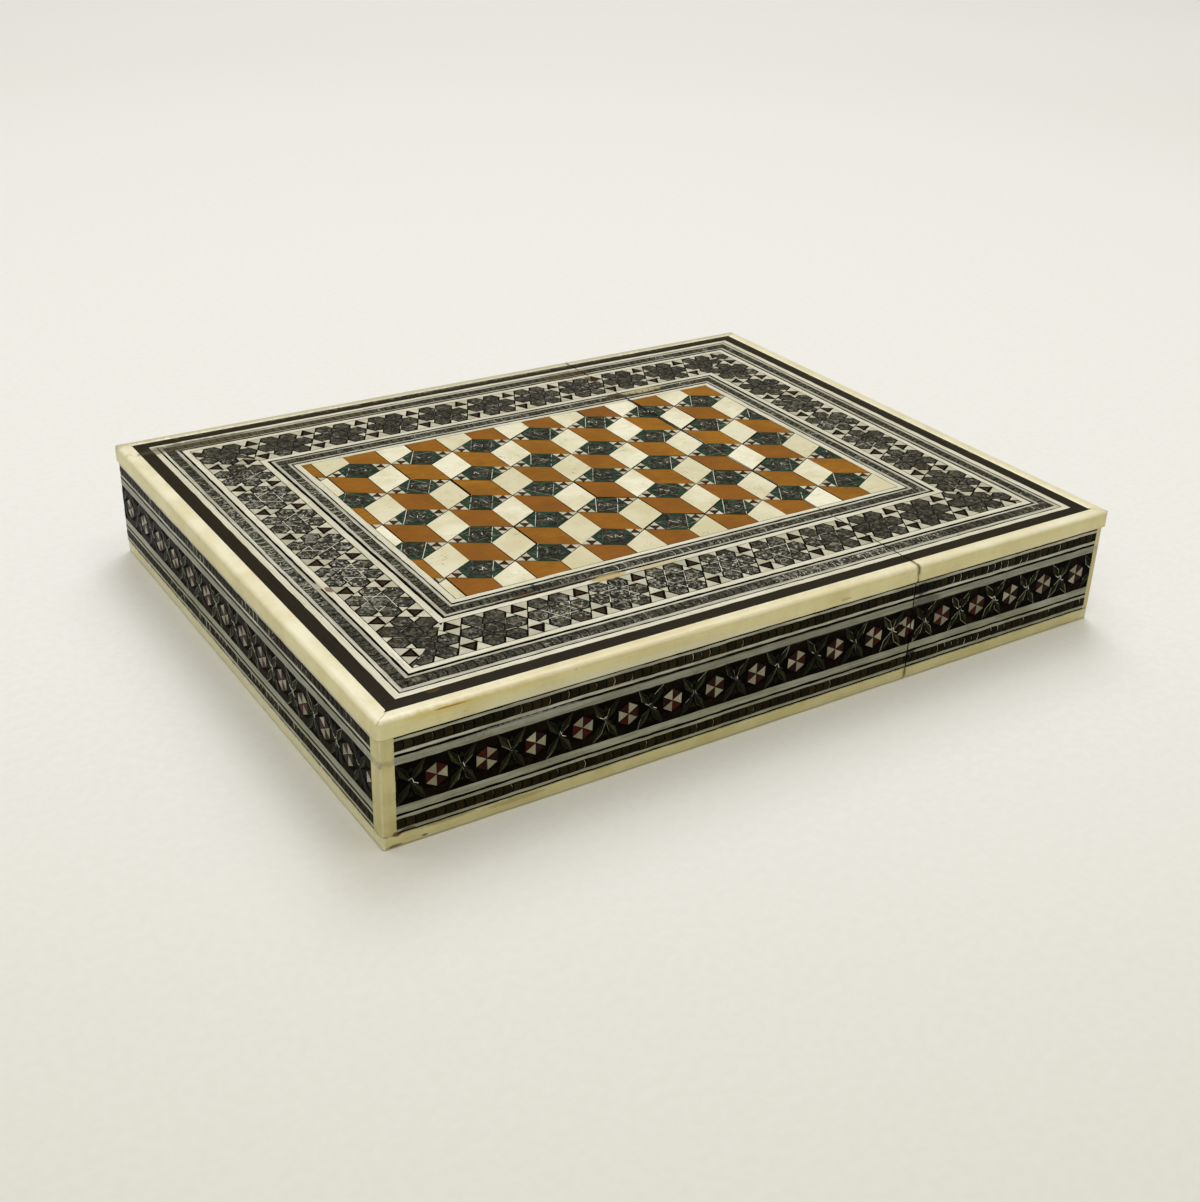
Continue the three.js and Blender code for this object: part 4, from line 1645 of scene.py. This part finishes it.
@dataclass(frozen=True)
class BlockPanel:
    """The centre panel: rows of blocks, each a dark hexagon over an orange and a white side."""

    half_width: float = 4.59  # half the width of a block's rhomb
    rise: float = 2.65  # half its height
    upright: float = 5.68  # the height of the two sides under it
    phase: Point = (0.71, 0.02)  # where the block in the middle stands
    hexagon_width: float = 2.39  # half the width of the hexagon inside the rhomb
    waist: float = 0.28  # how far out the star's nooks lie, where a third would leave its lines straight
    # the bent wire in the star's middle
    curl: tuple[Point, ...] = (
        (-1.0, 0.3), (-0.6, 0.75), (-0.35, 0.0), (0.05, -0.3), (0.35, 0.35), (0.55, -0.45), (1.0, -0.3)
    )
    curl_top: float = 0.024  # how far it stands up
    joint: float = 0.06  # half the joint round the sides
    row_joint: float = 0.09  # how much wider the joint under a white side is
    easing: float = 0.04  # the easing of their top edges
    wire: float = 0.07  # the width of the wires
    wire_top: float = 0.01  # how far the first wire stands up
    wire_step: float = 0.002  # how much further each after it does, where they cross
    stray: float = 0.06  # how far a block may lie from its place
    lean: float = 0.1  # how far its middle may lie from its own

    @property
    def shoulder(self) -> float:
        """How far from its middle line the hexagon's upright sides end."""
        return self.rise * (1 - self.hexagon_width / self.half_width)

    def corners(self) -> list[Point]:
        """The hexagon's corners, anticlockwise from the lower one."""
        h, rise, shoulder = self.hexagon_width, self.rise, self.shoulder
        return [(0, -rise), (h, -shoulder), (h, shoulder), (0, rise), (-h, shoulder), (-h, -shoulder)]

    def hexagon(self) -> list[Piece]:
        """Makes the inlaid hexagon: a star of fine mosaic, green between its points, and wires along it.

        Returns:
            Its tiles and wires.
        """
        corners = self.corners()
        nooks = []
        for corner, after in zip(corners, [*corners[1:], corners[0]]):
            nooks.append(tuple(self.waist * (a + b) for a, b in zip(corner, after)))
        pieces = [saw_tile(nooks, HEART, joint=HAIR_JOINT)]
        for i, corner in enumerate(corners):
            after = corners[(i + 1) % 6]
            pieces.append(saw_tile([corner, nooks[i], nooks[i - 1]], HEART, joint=FINE_JOINT))
            pieces.append(saw_tile([corner, after, nooks[i]], GREEN_BONE, joint=FINE_JOINT))
            # Painted shade: only two of the six chords get the bright wire; the other four get the unlit
            # copy, as if turned from the light.
            finish = WIRE if i % 3 == 0 else UNLIT_WIRE
            top = self.wire_top + self.wire_step * i
            pieces.append(lay_wire(corner, corners[(i + 2) % 6], self.wire, finish, top))
        return pieces + lay_bent_wire(self.curl, self.wire, self.curl_top)

    def tip(self) -> list[Piece]:
        """Makes the triangle at a rhomb's left tip, quartered.

        Returns:
            Its tiles: three white corners and a dark middle.
        """
        h, shoulder = self.hexagon_width, self.shoulder
        tip, low, high = (-self.half_width, 0.0), (-h, -shoulder), (-h, shoulder)
        sides = ((tip, low), (low, high), (high, tip))
        halfway = [tuple((a + b) / 2 for a, b in zip(*ends)) for ends in sides]
        return [
            saw_tile([tip, halfway[0], halfway[2]], BONE_CHIP, joint=WIDE_JOINT),
            saw_tile([low, halfway[1], halfway[0]], BONE_CHIP, joint=WIDE_JOINT),
            saw_tile([high, halfway[2], halfway[1]], BONE_CHIP, joint=WIDE_JOINT),
            saw_tile(halfway, BROWN_WOOD, joint=0.0),
        ]

    def block(self) -> Piece:
        """Makes one block, about the centre of its rhomb.

        Returns:
            The block.
        """
        w, rise, low = self.half_width, self.rise, -self.rise - self.upright
        orange = [(0, -rise), (-w, 0), (-w, -self.upright), (0, low)]
        white = [(0, low + self.row_joint), (w, self.row_joint - self.upright), (w, 0), (0, -rise)]
        pieces = [
            saw_tile(orange, ORANGE_WOOD, self.easing, self.joint),
            saw_tile(white, BONE_TILE, self.easing, self.joint),
            *self.hexagon(),
        ]
        left = join("tip", self.tip())
        pieces += [left, again(left, turned(180))]
        return join("block", pieces)

    def lay(self, half_length: float, half_width: float, seed: int) -> Piece:
        """Lays the blocks of one face, and trims them to the panel.

        Args:
            half_length: Half the panel's length.
            half_width: Half its width.
            seed: What the blocks' small errors are drawn from.

        Returns:
            The panel's tiles.
        """
        draw = random.Random(seed)
        block = self.block()
        pitch = (2 * self.half_width, self.rise + self.upright)
        columns = math.ceil(half_length / pitch[0]) + 1
        rows = math.ceil(half_width / pitch[1]) + 1
        laid = []
        for row in range(-rows, rows + 1):
            for column in range(-columns, columns + 1):
                x = self.phase[0] + (column + (row % 2) / 2) * pitch[0] + draw.gauss(0, self.stray)
                y = self.phase[1] + row * pitch[1] + draw.gauss(0, self.stray)
                shifted = again(block)
                lean = draw.gauss(0, self.lean)
                for vertex in shifted.data.vertices:
                    vertex.co.x += lean * max(0, 1 - abs(vertex.co.x) / self.half_width)
                laid.append(move(shifted, Matrix.Translation((x, y, 0))))
        drop(block)
        panel = join("panel", laid)
        for way in (-1, 1):
            saw(panel, (way * (half_length - self.joint), 0, 0), (way, 0, 0))
            saw(panel, (0, way * (half_width - self.joint), 0), (0, way, 0))
        return panel


@dataclass(frozen=True)
class Face:
    """One big face's veneer, laid flat with its top at z = 0."""

    outline: Outline  # the case's sizes
    ebony: Widths  # the insets of the ebony border
    outer: Widths  # the insets of the outer strings
    rosettes: Widths  # the insets of the band of flowers
    inner: Widths  # the insets of the inner strings
    panel: Widths  # the insets of the centre panel
    panel_seed: int = 11  # what the small errors of the panel's blocks are drawn from

    @classmethod
    def from_frame(cls, outline: Outline) -> "Face":
        """Reads the insets of the courses from the CAD nodes."""
        titles = ("ebony_border", "outer_stringing", "rosette_band", "inner_stringing", "block_panel")
        return cls(outline, *(outline.inset(f"case_upper_{title}") for title in titles))

    def courses(self, start: Widths, stop: Widths) -> list[tuple[Side, Run, Matrix]]:
        """The four runs of a course, each with its side and its place."""
        return [(side, *self.outline.course(side, start, stop)) for side in Side]

    def sheet(
        self, start: Widths, stop: Widths, finish: Stock = GLUE, sunk: float = GROUND_DROP
    ) -> list[Piece]:
        """Lays plain strips over a course's whole width, all round.

        Args:
            start: The insets of its outer edge.
            stop: The insets of its inner edge.
            finish: What they are made of. As glue, they show in the joints of what lies on them.
            sunk: How far they lie below the veneer's top.

        Returns:
            The strips.
        """
        depth = self.outline.veneer_top - self.outline.veneer_back - sunk
        return [
            move(lay_strip(run, run.width, finish, -sunk, depth), place)
            for _, run, place in self.courses(start, stop)
        ]

    def stringing(self, title: str, strings: Strings, start: Widths, stop: Widths) -> Piece:
        """Lays the strings between two insets, all round.

        Args:
            title: What they are called.
            strings: The strings.
            start: The insets where they start.
            stop: The insets where they stop.

        Returns:
            The strings, on their ground.
        """
        laid = self.sheet(start, stop)
        for side in Side:
            laid += strings.lay(partial(self.outline.course, side), start)
        return join(title, laid)

    def rosette_band(self) -> Piece:
        """Lays the band of flowers, all round.

        Returns:
            The band, on its ground.
        """
        maker = Rosettes()
        flower = maker.flower()
        laid = self.sheet(self.rosettes, self.inner)
        for side, run, place in self.courses(self.rosettes, self.inner):
            laid.append(move(maker.lay(flower, run, RHYTHMS[side]), place))
        drop(flower)
        return join("rosette_band", laid)

    def block_panel(self) -> Piece:
        """Lays the centre panel.

        Returns:
            The panel, on its ground.
        """
        half_length = self.outline.half_length - self.panel[0]
        half_width = self.outline.half_width - self.panel[1]
        tiles = BlockPanel().lay(half_length, half_width, self.panel_seed)
        run = Run(half_length, half_length, 2 * half_width)
        depth = self.outline.veneer_top - self.outline.veneer_back - GROUND_DROP
        ground = lay_strip(run, run.width, GLUE, -GROUND_DROP, depth)
        return join("block_panel", [move(ground, Matrix.Translation((0, -half_width, 0))), tiles])

    def build(self) -> None:
        """Builds the courses once, and delivers them on the upper and the lower face."""
        courses = [
            (join("ebony_border", self.sheet(self.ebony, self.outer, EBONY, 0)), "ebony"),
            (self.stringing("outer_stringing", OUTER_STRINGS, self.outer, self.rosettes), "stringing"),
            (self.rosette_band(), "rosette_mosaic"),
            (self.stringing("inner_stringing", INNER_STRINGS, self.inner, self.panel), "stringing"),
            (self.block_panel(), "block_mosaic"),
        ]
        lift = Matrix.Translation((0, 0, self.outline.veneer_top))
        for seed, (face, pose) in enumerate(self.outline.poses.items(), start=1):
            for course, slot in courses:
                title = course.name
                for half, part in self.outline.part(again(course), f"{face}_{title}").items():
                    lay_by_hand(part, seed)
                    wander(Skew().set(part), seed)
                    move(part, pose @ lift)
                    deliver(part, half, slot, f"{half}_{face}_{title}")
        for course, _ in courses:
            drop(course)


@dataclass(frozen=True)
class BoneEdges:
    """The bone bars round one face, with a rounded outer corner."""

    outline: Outline  # the case's sizes
    face: str  # "upper" or "lower"
    arris: float  # the rounding of the bars' outer edge
    corner: float = 0.7  # the rounding where two bars meet
    facets: tuple[float, ...] = (12, 34)  # the angles of the saw cuts that round it
    first_seed: int = 5  # what the first bar's wear is drawn from
    easing: float = 0.12  # the rounding of the bars' other long edges
    cut_easing: float = 0.1  # the rounding of their ends at the seam
    dent: float = 0.035  # how deep hands have worn the outer side
    unevenness: float = 0.02  # how deep the finer waves are
    chipping: float = 0.25  # how deep the chips along the edges are
    chip_level: float = 0.45  # the level of the finer waves above which they chip
    chip_reach: float = 0.4  # how far from an edge they chip
    wear_reach: float = 0.3  # how far in from the outer side, and how far down, the wear goes
    spared: float = 0.2  # the width of the strip beside the veneer that isn't worn

    def wear(self, bar: Piece, width: float, seed: int) -> None:
        """Wears a bar's outer side and top, and chips its edges.

        Args:
            bar: The bar, its outer side on y = 0 and its top at z = 0.
            width: Its width.
            seed: Its own number, so that each bar is worn in its own way.
        """
        for vertex in bar.data.vertices:
            long_wave = Vector((vertex.co.x / 9, 3.1 * seed, vertex.co.z / 4))
            wave = Vector((vertex.co.x / 1.3, 3.1 * seed, (vertex.co.y + vertex.co.z) / 1.5))
            on_edge = min(-vertex.co.z, vertex.co.y) < self.chip_reach
            chip = max(0, noise.noise(wave) - self.chip_level) if on_edge else 0
            depth = self.dent * (0.6 + noise.noise(long_wave))
            depth = max(0, depth + self.unevenness * noise.noise(wave) + self.chipping * chip)
            if vertex.co.y < self.wear_reach:
                vertex.co.y += depth
            if vertex.co.z > -self.wear_reach and vertex.co.y < width - self.spared:
                vertex.co.z -= depth / 2

    def bar(self, run: Run, height: float, seed: int) -> Piece:
        """Makes one bar.

        Args:
            run: Its run.
            height: Its height.
            seed: Its own number.

        Returns:
            The bar, its outer side on y = 0 and its top at z = 0.
        """
        size = (2 * run.outer + 2 * run.width, run.width)
        bar = cut_sheet(size, (round(3 * run.outer), 1), (0, run.width / 2, 0))
        with editing(bar):
            thicken(height)
            pick_edges(bar, lambda a, b: max(a.y, b.y) < HAIR and min(a.z, b.z) > -HAIR)
            round_edges(self.arris, 6)
            pick_edges(
                bar,
                lambda a, b: max(a.y, b.y) < HAIR and max(a.z, b.z) < HAIR - height
                or min(a.y, b.y) > run.width - HAIR and min(a.z, b.z) > -HAIR,
            )
            round_edges(self.easing, 2)
        self.wear(bar, run.width, seed)
        run.mitre(dress(bar, BONE_BAR if self.face == "upper" else BONE_LOWER))
        for way in (-1, 1):
            middle = Vector((way * (run.outer - self.corner), self.corner, 0))
            for angle in map(math.radians, self.facets):
                outward = Vector((way * math.sin(angle), -math.cos(angle), 0))
                saw(bar, middle + self.corner * outward, outward)
        return bar

    def round_cut(self, bar: Piece, x: float) -> None:
        """Eases a bar's end where it was sawn."""
        with editing(bar):
            pick_edges(bar, lambda a, b: max(abs(a.x - x), abs(b.x - x)) < HAIR)
            round_edges(self.cut_easing, 2)

    def build(self) -> None:
        """Makes the bars of the face and saws those of the sides at the seam."""
        low, high = span(f"case_{self.face}_near_edge")
        _, end_high = span(f"case_{self.face}_end_edge")
        start = (self.outline.half_length + low.x, self.outline.half_width + low.y)
        stop = (self.outline.half_length + end_high.x, self.outline.half_width + high.y)
        names = {Side.NEAR: "near", Side.FAR: "far", Side.LID_END: "end", Side.CASE_END: "end"}
        if self.face == "lower":
            names |= {Side.NEAR: "far", Side.FAR: "near"}
        for seed, side in enumerate(Side, start=self.first_seed):
            run, place = self.outline.course(side, start, stop)
            bar = move(self.bar(run, high.z - low.z, seed), place)
            title = f"{self.face}_{names[side]}_edge"
            parts = self.outline.part(bar, title, side.halves)
            if not side.is_end:
                for part, x in zip(parts.values(), self.outline.seam):
                    self.round_cut(part, x)
            for half, part in parts.items():
                smooth(part)
                lay_by_hand(part, seed, slip=0, rise=0)
                deliver(move(part, self.outline.poses[self.face]), half, "bone", f"{half}_{title}")


@dataclass(frozen=True)
class StarBand:
    """The band of the sides: white and red pinwheels, with dark six-pointed stars between them."""

    pitch: float = 5.87  # the distance between two pinwheels
    height: float = 5.0  # the band's height
    pinwheel_size: float = 1.46  # the distance of a pinwheel's corners from its middle
    point_at: float = 56.0  # the angle of a star's slanted points
    point: float = 2.95  # their length
    shoulder: float = 1.55  # the distance of a point's widest place from the star's middle
    splay: float = 17.0  # half the angle that it is seen under from there
    nook: float = 0.7  # half the height of the level points, where they meet the pinwheels
    cap: float = 1.9  # the distance of the caps' inner corner from the star's middle
    cap_turn: float = 14.0  # how far it lies beside the slanted points
    # the small triangle above and below a star's middle
    chip: tuple[Point, ...] = ((-0.45, -0.3), (0.45, -0.3), (0.0, 0.45))
    chip_at: float = 1.5  # how far off it lies
    wire: float = 0.05  # the width of the wires
    # the bent wire in a star's middle
    curl: tuple[Point, ...] = ((-0.75, 0.62), (-0.3, 0.3), (0.1, 0.48), (0.32, -0.1), (0.8, -0.35))
    curl_wire: float = 0.07  # its width
    curl_top: float = 0.02  # how far it stands up

    def pinwheel(self) -> list[Piece]:
        """Saws six triangles round the origin.

        Returns:
            Three white ones and three red ones.
        """
        pieces = []
        for finish, first in ((BONE_BLADE, 0), (RED_WOOD, 60)):
            size = self.pinwheel_size
            blade = saw_tile([(0.0, 0.0), polar(size, first - 30), polar(size, first + 30)], finish)
            pieces += [blade, again(blade, turned(120)), again(blade, turned(240))]
        return pieces

    def dark_tiles(self) -> list[Piece]:
        """Saws the dark tiles round a star's slanted points.

        Returns:
            The upright and level points, and the caps over the pinwheels.
        """
        top = self.height / 2
        upper = self.point_at + self.splay
        reach = self.pitch / 2
        wheel = reach - self.pinwheel_size * math.cos(math.pi / 6)
        peak = polar(self.point, self.point_at)
        upright = [(0, 0), polar(self.shoulder, upper), (0, top), polar(self.shoulder, 180 - upper)]
        level = [(0, 0), (wheel, -self.nook), (wheel, self.nook)]
        nook = polar(self.cap, self.point_at - self.cap_turn)
        cap = [(reach, self.pinwheel_size), (reach, top), (peak[0], top), nook]
        pieces = [saw_tile(upright, HORN), saw_tile(level, HORN), saw_tile(cap, CAP_WOOD)]
        pieces.append(again(pieces[-1], Matrix.Scale(-1, 4, (1, 0, 0))))
        with editing(pieces[-1]):
            bpy.ops.mesh.normals_make_consistent(inside=False)
        return pieces + [again(piece, turned(180)) for piece in pieces]

    def star(self) -> list[Piece]:
        """Makes a star about the origin: four slanted green points, and dark tiles between them.

        Returns:
            Its tiles and wires.
        """
        pieces = self.dark_tiles()
        for angle in (self.point_at, 180 - self.point_at, 180 + self.point_at, -self.point_at):
            near, far = polar(self.shoulder, angle - self.splay), polar(self.shoulder, angle + self.splay)
            end = polar(self.point, angle)
            sides = (DARK_GREEN, OLIVE) if angle * (90 - angle) > 0 else (OLIVE, DARK_GREEN)
            pieces.append(saw_tile([(0, 0), near, end], sides[0], joint=HAIR_JOINT))
            pieces.append(saw_tile([(0, 0), end, far], sides[1], joint=HAIR_JOINT))
            for start, stop in (((0, 0), near), (near, end), (end, far), (far, (0, 0))):
                # The star's outlines take the unlit copy of the wire: painted shade, bright only where the
                # glint is strong.
                pieces.append(lay_wire(start, stop, self.wire, UNLIT_WIRE))
        pieces += lay_bent_wire(self.curl, self.curl_wire, self.curl_top)
        for way in (-1, 1):
            chip = saw_tile([(x, way * self.chip_at + y) for x, y in self.chip], OLIVE)
            pieces.append(move(chip, Matrix.Translation((0, 0, WIRE_TOP))))
        return pieces

    def unit(self, turn: float) -> Piece:
        """Makes a pinwheel with a star half a pitch to its right."""
        wheel = join("wheel", self.pinwheel())
        star = join("star", self.star())
        beside = Matrix.Translation((self.pitch / 2, 0, 0))
        return join("star_unit", [move(wheel, turned(turn)), move(star, beside)])


@dataclass(frozen=True)
class StarRow:
    """How the pinwheels of one side stand, from the left as one looks at it."""

    first: float  # the first one's place
    order: str  # which way each is turned
    lost: float = 0.0  # how much of the row the saw took at the seam


STAR_ROWS = {
    Side.NEAR: StarRow(-51.17, "AABAABABABBAABBBAAB", 0.7),
    Side.FAR: StarRow(-51.6, "BABBABAABABBABAABAB"),
    Side.CASE_END: StarRow(-43.48, "BABAABBABAABABBA"),
    Side.LID_END: StarRow(-43.6, "ABBABAABBABABAAB"),
}


@dataclass(frozen=True)
class SideVeneer:
    """The veneers of the case's sides, each made flat along X and stood up."""

    outline: Outline  # the case's sizes
    band: StarBand  # the star band
    units: dict[str, Piece]  # its two kinds of pinwheel unit, by their letter in a row's order
    first_seed: int = 31  # what the small errors of the near side are drawn from
    rise: float = 0.012  # how far a tile's edge may stand up
    stray: float = 0.07  # how far the courses stray

    def stars(self, row: StarRow, seam: float) -> Piece:
        """Lays a star band with its lower edge on y = 0.

        Args:
            row: How its pinwheels stand.
            seam: Where the case ends along X.

        Returns:
            The band.
        """
        laid = []
        for step, kind in enumerate(row.order):
            x = row.first + step * self.band.pitch
            if x > seam:
                x -= row.lost
            laid.append(again(self.units[kind], Matrix.Translation((x, self.band.height / 2, 0))))
        return join("stars", laid)

    def flat(self, low: float, high: float, row: StarRow) -> Piece:
        """Makes a whole veneer lying flat, with its lower edge on y = 0.

        Args:
            low: Where it starts along X.
            high: Where it ends.
            row: How its pinwheels stand.

        Returns:
            The veneer.
        """
        centre, reach = (low + high) / 2, (high - low) / 2

        def course(here: Widths, there: Widths) -> tuple[Run, Matrix]:
            """The run between two levels, and its place."""
            return Run(reach, reach, there[1] - here[1]), Matrix.Translation((centre, here[1], 0))

        level = sum(LOWER_SIDE_STRINGS.at_side)
        top = level + self.band.height
        height = top + sum(UPPER_SIDE_STRINGS.at_side)
        pieces = LOWER_SIDE_STRINGS.lay(course, (0, 0))
        pieces += UPPER_SIDE_STRINGS.lay(course, (top, top))
        stars = move(self.stars(row, self.outline.seam[0]), Matrix.Translation((0, level, 0)))
        for way, x in ((-1, low), (1, high)):
            saw(stars, (x, 0, 0), (way, 0, 0))
        ground = lay_strip(Run(reach, reach, height), height, GLUE, -GROUND_DROP, 1 - GROUND_DROP)
        pieces += [stars, move(ground, Matrix.Translation((centre, 0, 0)))]
        return join("side_veneer", pieces)

    def build_side(self, side: Side, title: str) -> None:
        """Builds the veneer of one side.

        Args:
            side: The side.
            title: The name of its nodes after "case_" and "lid_".
        """
        spans = [span(f"{half}_{title}") for half in side.halves]
        low = Vector([min(values) for values in zip(*(low for low, _ in spans))])
        high = Vector([max(values) for values in zip(*(high for _, high in spans))])
        corners = [turned(-side.value) @ corner for corner in (low, high)]
        ends = sorted(corner.x for corner in corners)
        out = -min(corner.y for corner in corners)
        flat = self.flat(*ends, STAR_ROWS[side])
        seed = self.first_seed + side.value
        lay_by_hand(flat, seed, rise=self.rise, quarter=side.is_end)
        wander(flat, seed, amount=self.stray)
        stand = Matrix.Translation((0, -out, low.z)) @ Matrix.Rotation(math.pi / 2, 4, "X")
        move(flat, turned(side.value) @ stand)
        for half, part in self.outline.part(flat, title, side.halves).items():
            deliver(part, half, "star_mosaic", f"{half}_{title}")

    def build(self) -> None:
        """Builds the veneers of the four sides."""
        self.build_side(Side.NEAR, "near_star_veneer")
        self.build_side(Side.FAR, "far_star_veneer")
        self.build_side(Side.CASE_END, "end_star_veneer")
        self.build_side(Side.LID_END, "end_star_veneer")


@dataclass(frozen=True)
class CornerPosts:
    """The bone posts that close the corners, eased along their outer edges."""

    arris: float = 0.4  # the rounding of a post's outer edge
    cuts: int = 10  # into how many lengths it is cut, less one, so that it can bend
    unevenness: float = 0.02  # how deep it is worn

    def post(self, name: str, seed: int) -> Piece:
        """Models the post that a node stands for.

        Args:
            name: The node.
            seed: The post's own number.

        Returns:
            The post.
        """
        low, high = span(name)
        middle = (low + high) / 2
        post = cut_bar(high - low, middle)
        way_x, way_y = math.copysign(1, middle.x), math.copysign(1, middle.y)
        outer_x = max(way_x * low.x, way_x * high.x) - HAIR
        outer_y = max(way_y * low.y, way_y * high.y) - HAIR
        with editing(post):
            pick_edges(post, lambda a, b: abs(a.z - b.z) > 1)
            bpy.ops.mesh.subdivide(number_cuts=self.cuts)
            pick_edges(
                post,
                lambda a, b: min(way_x * a.x, way_x * b.x) > outer_x
                and min(way_y * a.y, way_y * b.y) > outer_y,
            )
            round_edges(self.arris, 5)
        for vertex in post.data.vertices:
            stray = self.unevenness * noise.noise(Vector((3.3 * seed, 0.4 * vertex.co.z, 0.0)))
            vertex.co.x -= way_x * abs(stray)
            vertex.co.y -= way_y * abs(stray)
        smooth(dress(post, BONE_POST))
        post.name = post.data.name = f"{name}_laid"
        return lay_by_hand(post, seed, slip=0, rise=0)

    def build(self) -> None:
        """Models and delivers the four posts."""
        for seed, (half, side) in enumerate((h, s) for h in HALVES for s in ("near", "far")):
            name = f"{half}_{side}_corner_post"
            deliver(self.post(name, seed), half, "bone", name)


def dress_carcass() -> None:
    """Gives the boards, walls and liner, whose shapes are the CAD's own, their wood."""
    for name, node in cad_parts.items():
        if name.endswith(("_board", "_wall")) or name.startswith("liner_"):
            dress(node, SANDALWOOD)
            log.info("%s: the CAD's own shape", name)


@dataclass(frozen=True)
class Studio:
    """The table, the light and the camera."""

    camera_at: tuple[float, float, float] = (-107.79, -165.51, 100.91)  # where the camera stands
    looks_at: tuple[float, float, float] = (-10.79, -17.44, 8.0)  # the point at the middle of its picture
    roll: float = 1.805  # how far it is turned about its line of sight, in degrees
    lens: float = 48.585  # its focal length
    sensor: float = 36.0  # the width of its sensor
    floor_size: float = 6.0  # the length of the paper's sides, in metres
    # each lamp's name, place and size in metres, its power in watts and its colour
    lamps: tuple[tuple, ...] = (
        ("window", (0.46, 0.7, 1.12), 0.7, 6.6, (243, 244, 255)),
        ("ceiling", (0.0, 0.0, 1.2), 1.0, 7.2, (255, 254, 252)),
        ("wall", (-0.7, -0.5, 0.9), 0.6, 1.6, (255, 254, 250)),
    )
    room: Colour = (255, 251, 222)  # the colour of the soft light all round
    room_light: float = 0.3  # its strength

    def camera(self) -> None:
        """Places the camera at the photograph's viewing angle."""
        at = Vector(self.camera_at)
        bpy.ops.object.camera_add(location=at * MM)
        camera = bpy.context.active_object
        look = (Vector(self.looks_at) - at).to_track_quat("-Z", "Y").to_matrix().to_4x4()
        camera.rotation_euler = (look @ turned(self.roll)).to_euler()
        camera.data.lens = self.lens
        camera.data.sensor_width = self.sensor
        camera.data.clip_start = 5 * MM
        bpy.context.scene.camera = camera

    def hang(self, name: str, at: Sequence[float], size: float, power: float, colour: Colour) -> None:
        """Hangs a square lamp that shines at the case.

        Args:
            name: Its name.
            at: Where it hangs, in metres.
            size: The length of its sides, in metres.
            power: Its power, in watts.
            colour: The colour of its light.
        """
        bpy.ops.object.light_add(type="AREA", location=at)
        lamp = bpy.context.active_object
        lamp.name = name
        lamp.rotation_euler = (-Vector(at)).to_track_quat("-Z", "Y").to_euler()
        lamp.data.size = size
        lamp.data.energy = power
        lamp.data.color = tint(colour)[:3]

    def floor(self) -> None:
        """Lays the paper that the case lies on."""
        bpy.ops.mesh.primitive_plane_add(size=self.floor_size)
        floor = bpy.context.active_object
        floor.name = "backdrop"
        dress(floor, Backdrop())

    def build(self) -> None:
        """Sets up the table, the lamps, the soft light all round and the camera."""
        self.floor()
        for lamp in self.lamps:
            self.hang(*lamp)
        world = bpy.data.worlds.new("room")
        world.use_nodes = True
        background = world.node_tree.nodes["Background"]
        background.inputs["Color"].default_value = tint(self.room)
        background.inputs["Strength"].default_value = self.room_light
        bpy.context.scene.world = world
        bpy.context.scene.view_settings.view_transform = "Standard"
        self.camera()


def main() -> None:
    """Builds every sub-assembly and reports its pieces."""
    logging.basicConfig(level=logging.INFO, format="%(name)s %(message)s")
    outline = Outline.from_frame()
    Face.from_frame(outline).build()
    BoneEdges(outline, "upper", arris=0.55).build()
    BoneEdges(outline, "lower", arris=0.35).build()
    band = StarBand()
    units = {"A": band.unit(0), "B": band.unit(60)}
    SideVeneer(outline, band, units).build()
    for unit in units.values():
        drop(unit)
    CornerPosts().build()
    dress_carcass()
    Studio().build()


if __name__ == "__main__":
    main()
